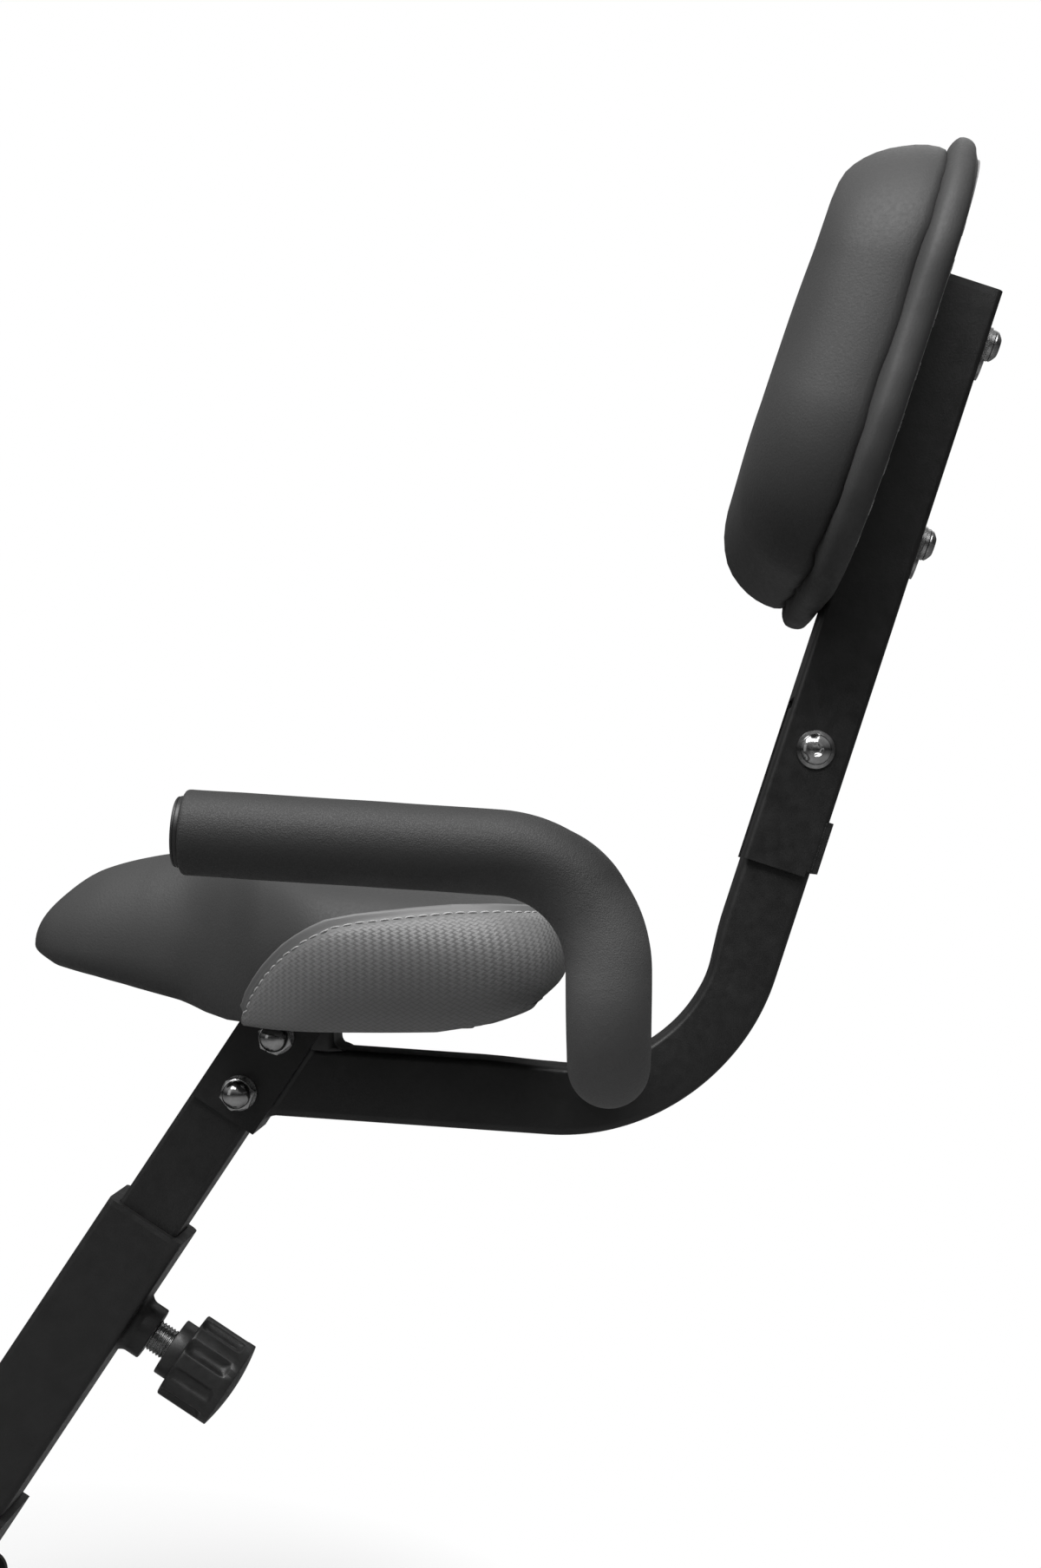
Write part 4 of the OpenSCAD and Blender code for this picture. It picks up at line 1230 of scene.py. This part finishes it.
def build_frame_weld():
    """A dressed fillet between the frame tube's end and the channel's web."""
    corner, back = build_frame_tube()
    centre = sum(corner, Vector()) / len(corner)
    loop = evenly(corner, 150, True)
    rings = []
    for i, spot in enumerate(loop):
        along = (loop[(i + 1) % len(loop)] - loop[i - 1]).normalized()
        out = along.cross(Vector((1, 0, 0))).normalized()
        if out.dot(spot - centre) < 0:
            out = -out
        size = (3.1 + 1.7 * abs(out.z)) * (1 + 0.14 * noise.noise((i / 7, 0.3, 0)) + 0.03 * sin(i * 1.9))
        web, tube = spot + out * size, spot + back * size * 1.05
        bend = spot + (out + back) * 0.16 * size
        ring = [web + Vector((-0.3, 0, 0)), web]
        for k in range(1, 8):
            t = k / 8
            ring.append(web * (1 - t) ** 2 + bend * 2 * t * (1 - t) + tube * t * t)
        ring += [tube, tube - out * 0.5, spot - out * 0.5]
        rings.append(ring)
    points, faces = shell(rings, close=True)
    mesh_object("frame_weld", points, faces, POST, "seat_carriage", "black_paint", crease=45)


def build_gusset_weld():
    """The heavy weld that fills the corner over the frame tube, up to the seat plate."""
    profile = [(193.2, 304.6), (205.1, 323.6), (208.4, 323.6), (207.1, 321.6), (206.5, 318.5), (206.4, 314),
               (206.6, 309.9)]
    profile += [(211.6 - 5 * cos(a), 309.9 - 5 * sin(a)) for a in (0.3, 0.6, 0.9, 1.2, 1.57)]
    profile += [(213, 304.2), (204, 303.6)]
    rings = []
    for y, draw in ((-20.7, 0.2), (-20.3, 0.06), (-19.4, 0.01), (-18, 0), (-9, 0), (0, 0), (9, 0), (18, 0),
                    (19.4, 0.01), (20.3, 0.06), (20.7, 0.2)):
        ring = []
        for x, z in profile:
            wave = 1 + 0.04 * noise.noise((x / 4, y / 3, z / 4))
            ring.append(Vector((x + (196 - x) * draw * wave, y, z + (310 - z) * draw * wave)))
        rings.append(ring)
    mesh_object("gusset_weld", *shell(rings), WORLD, "seat_carriage", "black_paint", crease=60)


def build_beads():
    """The small weld beads of the pivot bracket, the stop plate and the handlebar."""
    for side in SIDES:
        label = "near" if side < 0 else "far"
        edge = [(-1.0, side * 24.6, t) for t in range(4, 59, 3)]
        bead(f"bracket_weld_{label}", edge, 1.7, "main_tube", False, POST)
        corner = [(18.9, side * 21.6, z) for z in np.linspace(-65.0, -36.5, 8)]
        bead(f"stop_weld_{label}", corner, 1.1, "backrest", False, BACK)
        ring = [(BAR_X + 13.0 * cos(a), side * 19.2, BAR_Z + 13.0 * sin(a))
                for a in np.linspace(0, 2 * pi, 40, endpoint=False)]
        bead(f"bar_weld_{label}", ring, 1.8, "seat_carriage", True, WORLD)


build_frame_weld()
build_gusset_weld()
build_beads()

# ------------------------------------------------------- floor, light, camera
floor_z = cad_low.z
floor_material, floor_tree, floor_shader = new_material("pale_floor", 0.86, 0.9)
floor_place = object_coords(floor_tree)
distance = add(floor_tree, "VectorMath", operation="LENGTH", _0=floor_place).outputs["Value"]
away = remap(floor_tree, distance, 0.0, 1.0, 0.05, 0.45)
glow = add(floor_tree, "Emission", Color=(1, 1, 1, 1), Strength=1.0)
seen_floor = add(floor_tree, "MixShader", _0=away, _1=floor_shader.outputs[0], _2=glow.outputs[0])
dull = add(floor_tree, "BsdfDiffuse", Color=(0.3, 0.3, 0.3, 1))
looked_at = add(floor_tree, "LightPath").outputs["Is Camera Ray"]
mix = add(floor_tree, "MixShader", _0=looked_at, _1=dull.outputs[0], _2=seen_floor.outputs[0])
floor_tree.links.new(mix.outputs[0], floor_tree.nodes["Material Output"].inputs["Surface"])
bm = bmesh.new()
bmesh.ops.create_circle(bm, cap_ends=True, segments=96, radius=14.0)
floor_mesh = bpy.data.meshes.new("floor")
bm.to_mesh(floor_mesh)
bm.free()
floor = bpy.data.objects.new("floor", floor_mesh)
floor.location = (-0.08, 0, floor_z)
floor.data.materials.append(floor_material)
bpy.context.scene.collection.objects.link(floor)

world = bpy.data.worlds.new("studio")
bpy.context.scene.world = world
world.use_nodes = True
tree = world.node_tree
tree.nodes.clear()
output = tree.nodes.new("ShaderNodeOutputWorld")
seen = add(tree, "Background", Color=(1, 1, 1, 1), Strength=1.0)
direction = add(tree, "SeparateXYZ", Vector=add(tree, "TexCoord").outputs["Generated"]).outputs["Z"]
sky = grey_ramp(tree, remap(tree, direction, 0.0, 1.0, -1.0, 1.0),
                (0.0, 0.2), (0.42, 0.07), (0.55, 0.07), (0.75, 0.6), (1.0, 1.0))
lighting = add(tree, "Background", Color=sky, Strength=0.5)
camera_ray = add(tree, "LightPath").outputs["Is Camera Ray"]
mixed = add(tree, "MixShader", _0=camera_ray, _1=lighting.outputs[0], _2=seen.outputs[0])
tree.links.new(mixed.outputs[0], output.inputs["Surface"])


def area_light(name, place, target, size, power):
    lamp = bpy.data.lights.new(name, "AREA")
    lamp.shape = "RECTANGLE"
    lamp.size, lamp.size_y = size
    lamp.energy = power
    holder = bpy.data.objects.new(name, lamp)
    holder.location = place
    holder.rotation_euler = (Vector(target) - Vector(place)).to_track_quat("-Z", "Y").to_euler()
    bpy.context.scene.collection.objects.link(holder)


LOOK_AT = (0.3, 0.0, 0.4)
area_light("overhead_softbox", (0.1, -0.8, 1.8), LOOK_AT, (1.6, 1.1), 42)
area_light("front_fill", (-1.3, -1.5, 0.9), LOOK_AT, (0.9, 1.2), 1.6)
area_light("rear_rim", (0.9, 1.2, 1.6), LOOK_AT, (0.6, 1.2), 3)

scene = bpy.context.scene
scene.view_settings.view_transform = "Standard"
camera_data = bpy.data.cameras.new("camera")
camera_data.lens = 48.79
camera_data.shift_x = -0.0553
camera_data.shift_y = 0.0423
camera = bpy.data.objects.new("camera", camera_data)
camera.location = (0.3584, -1.2, 0.4157)
camera.rotation_euler = (radians(90), 0, 0)
scene.collection.objects.link(camera)
scene.camera = camera
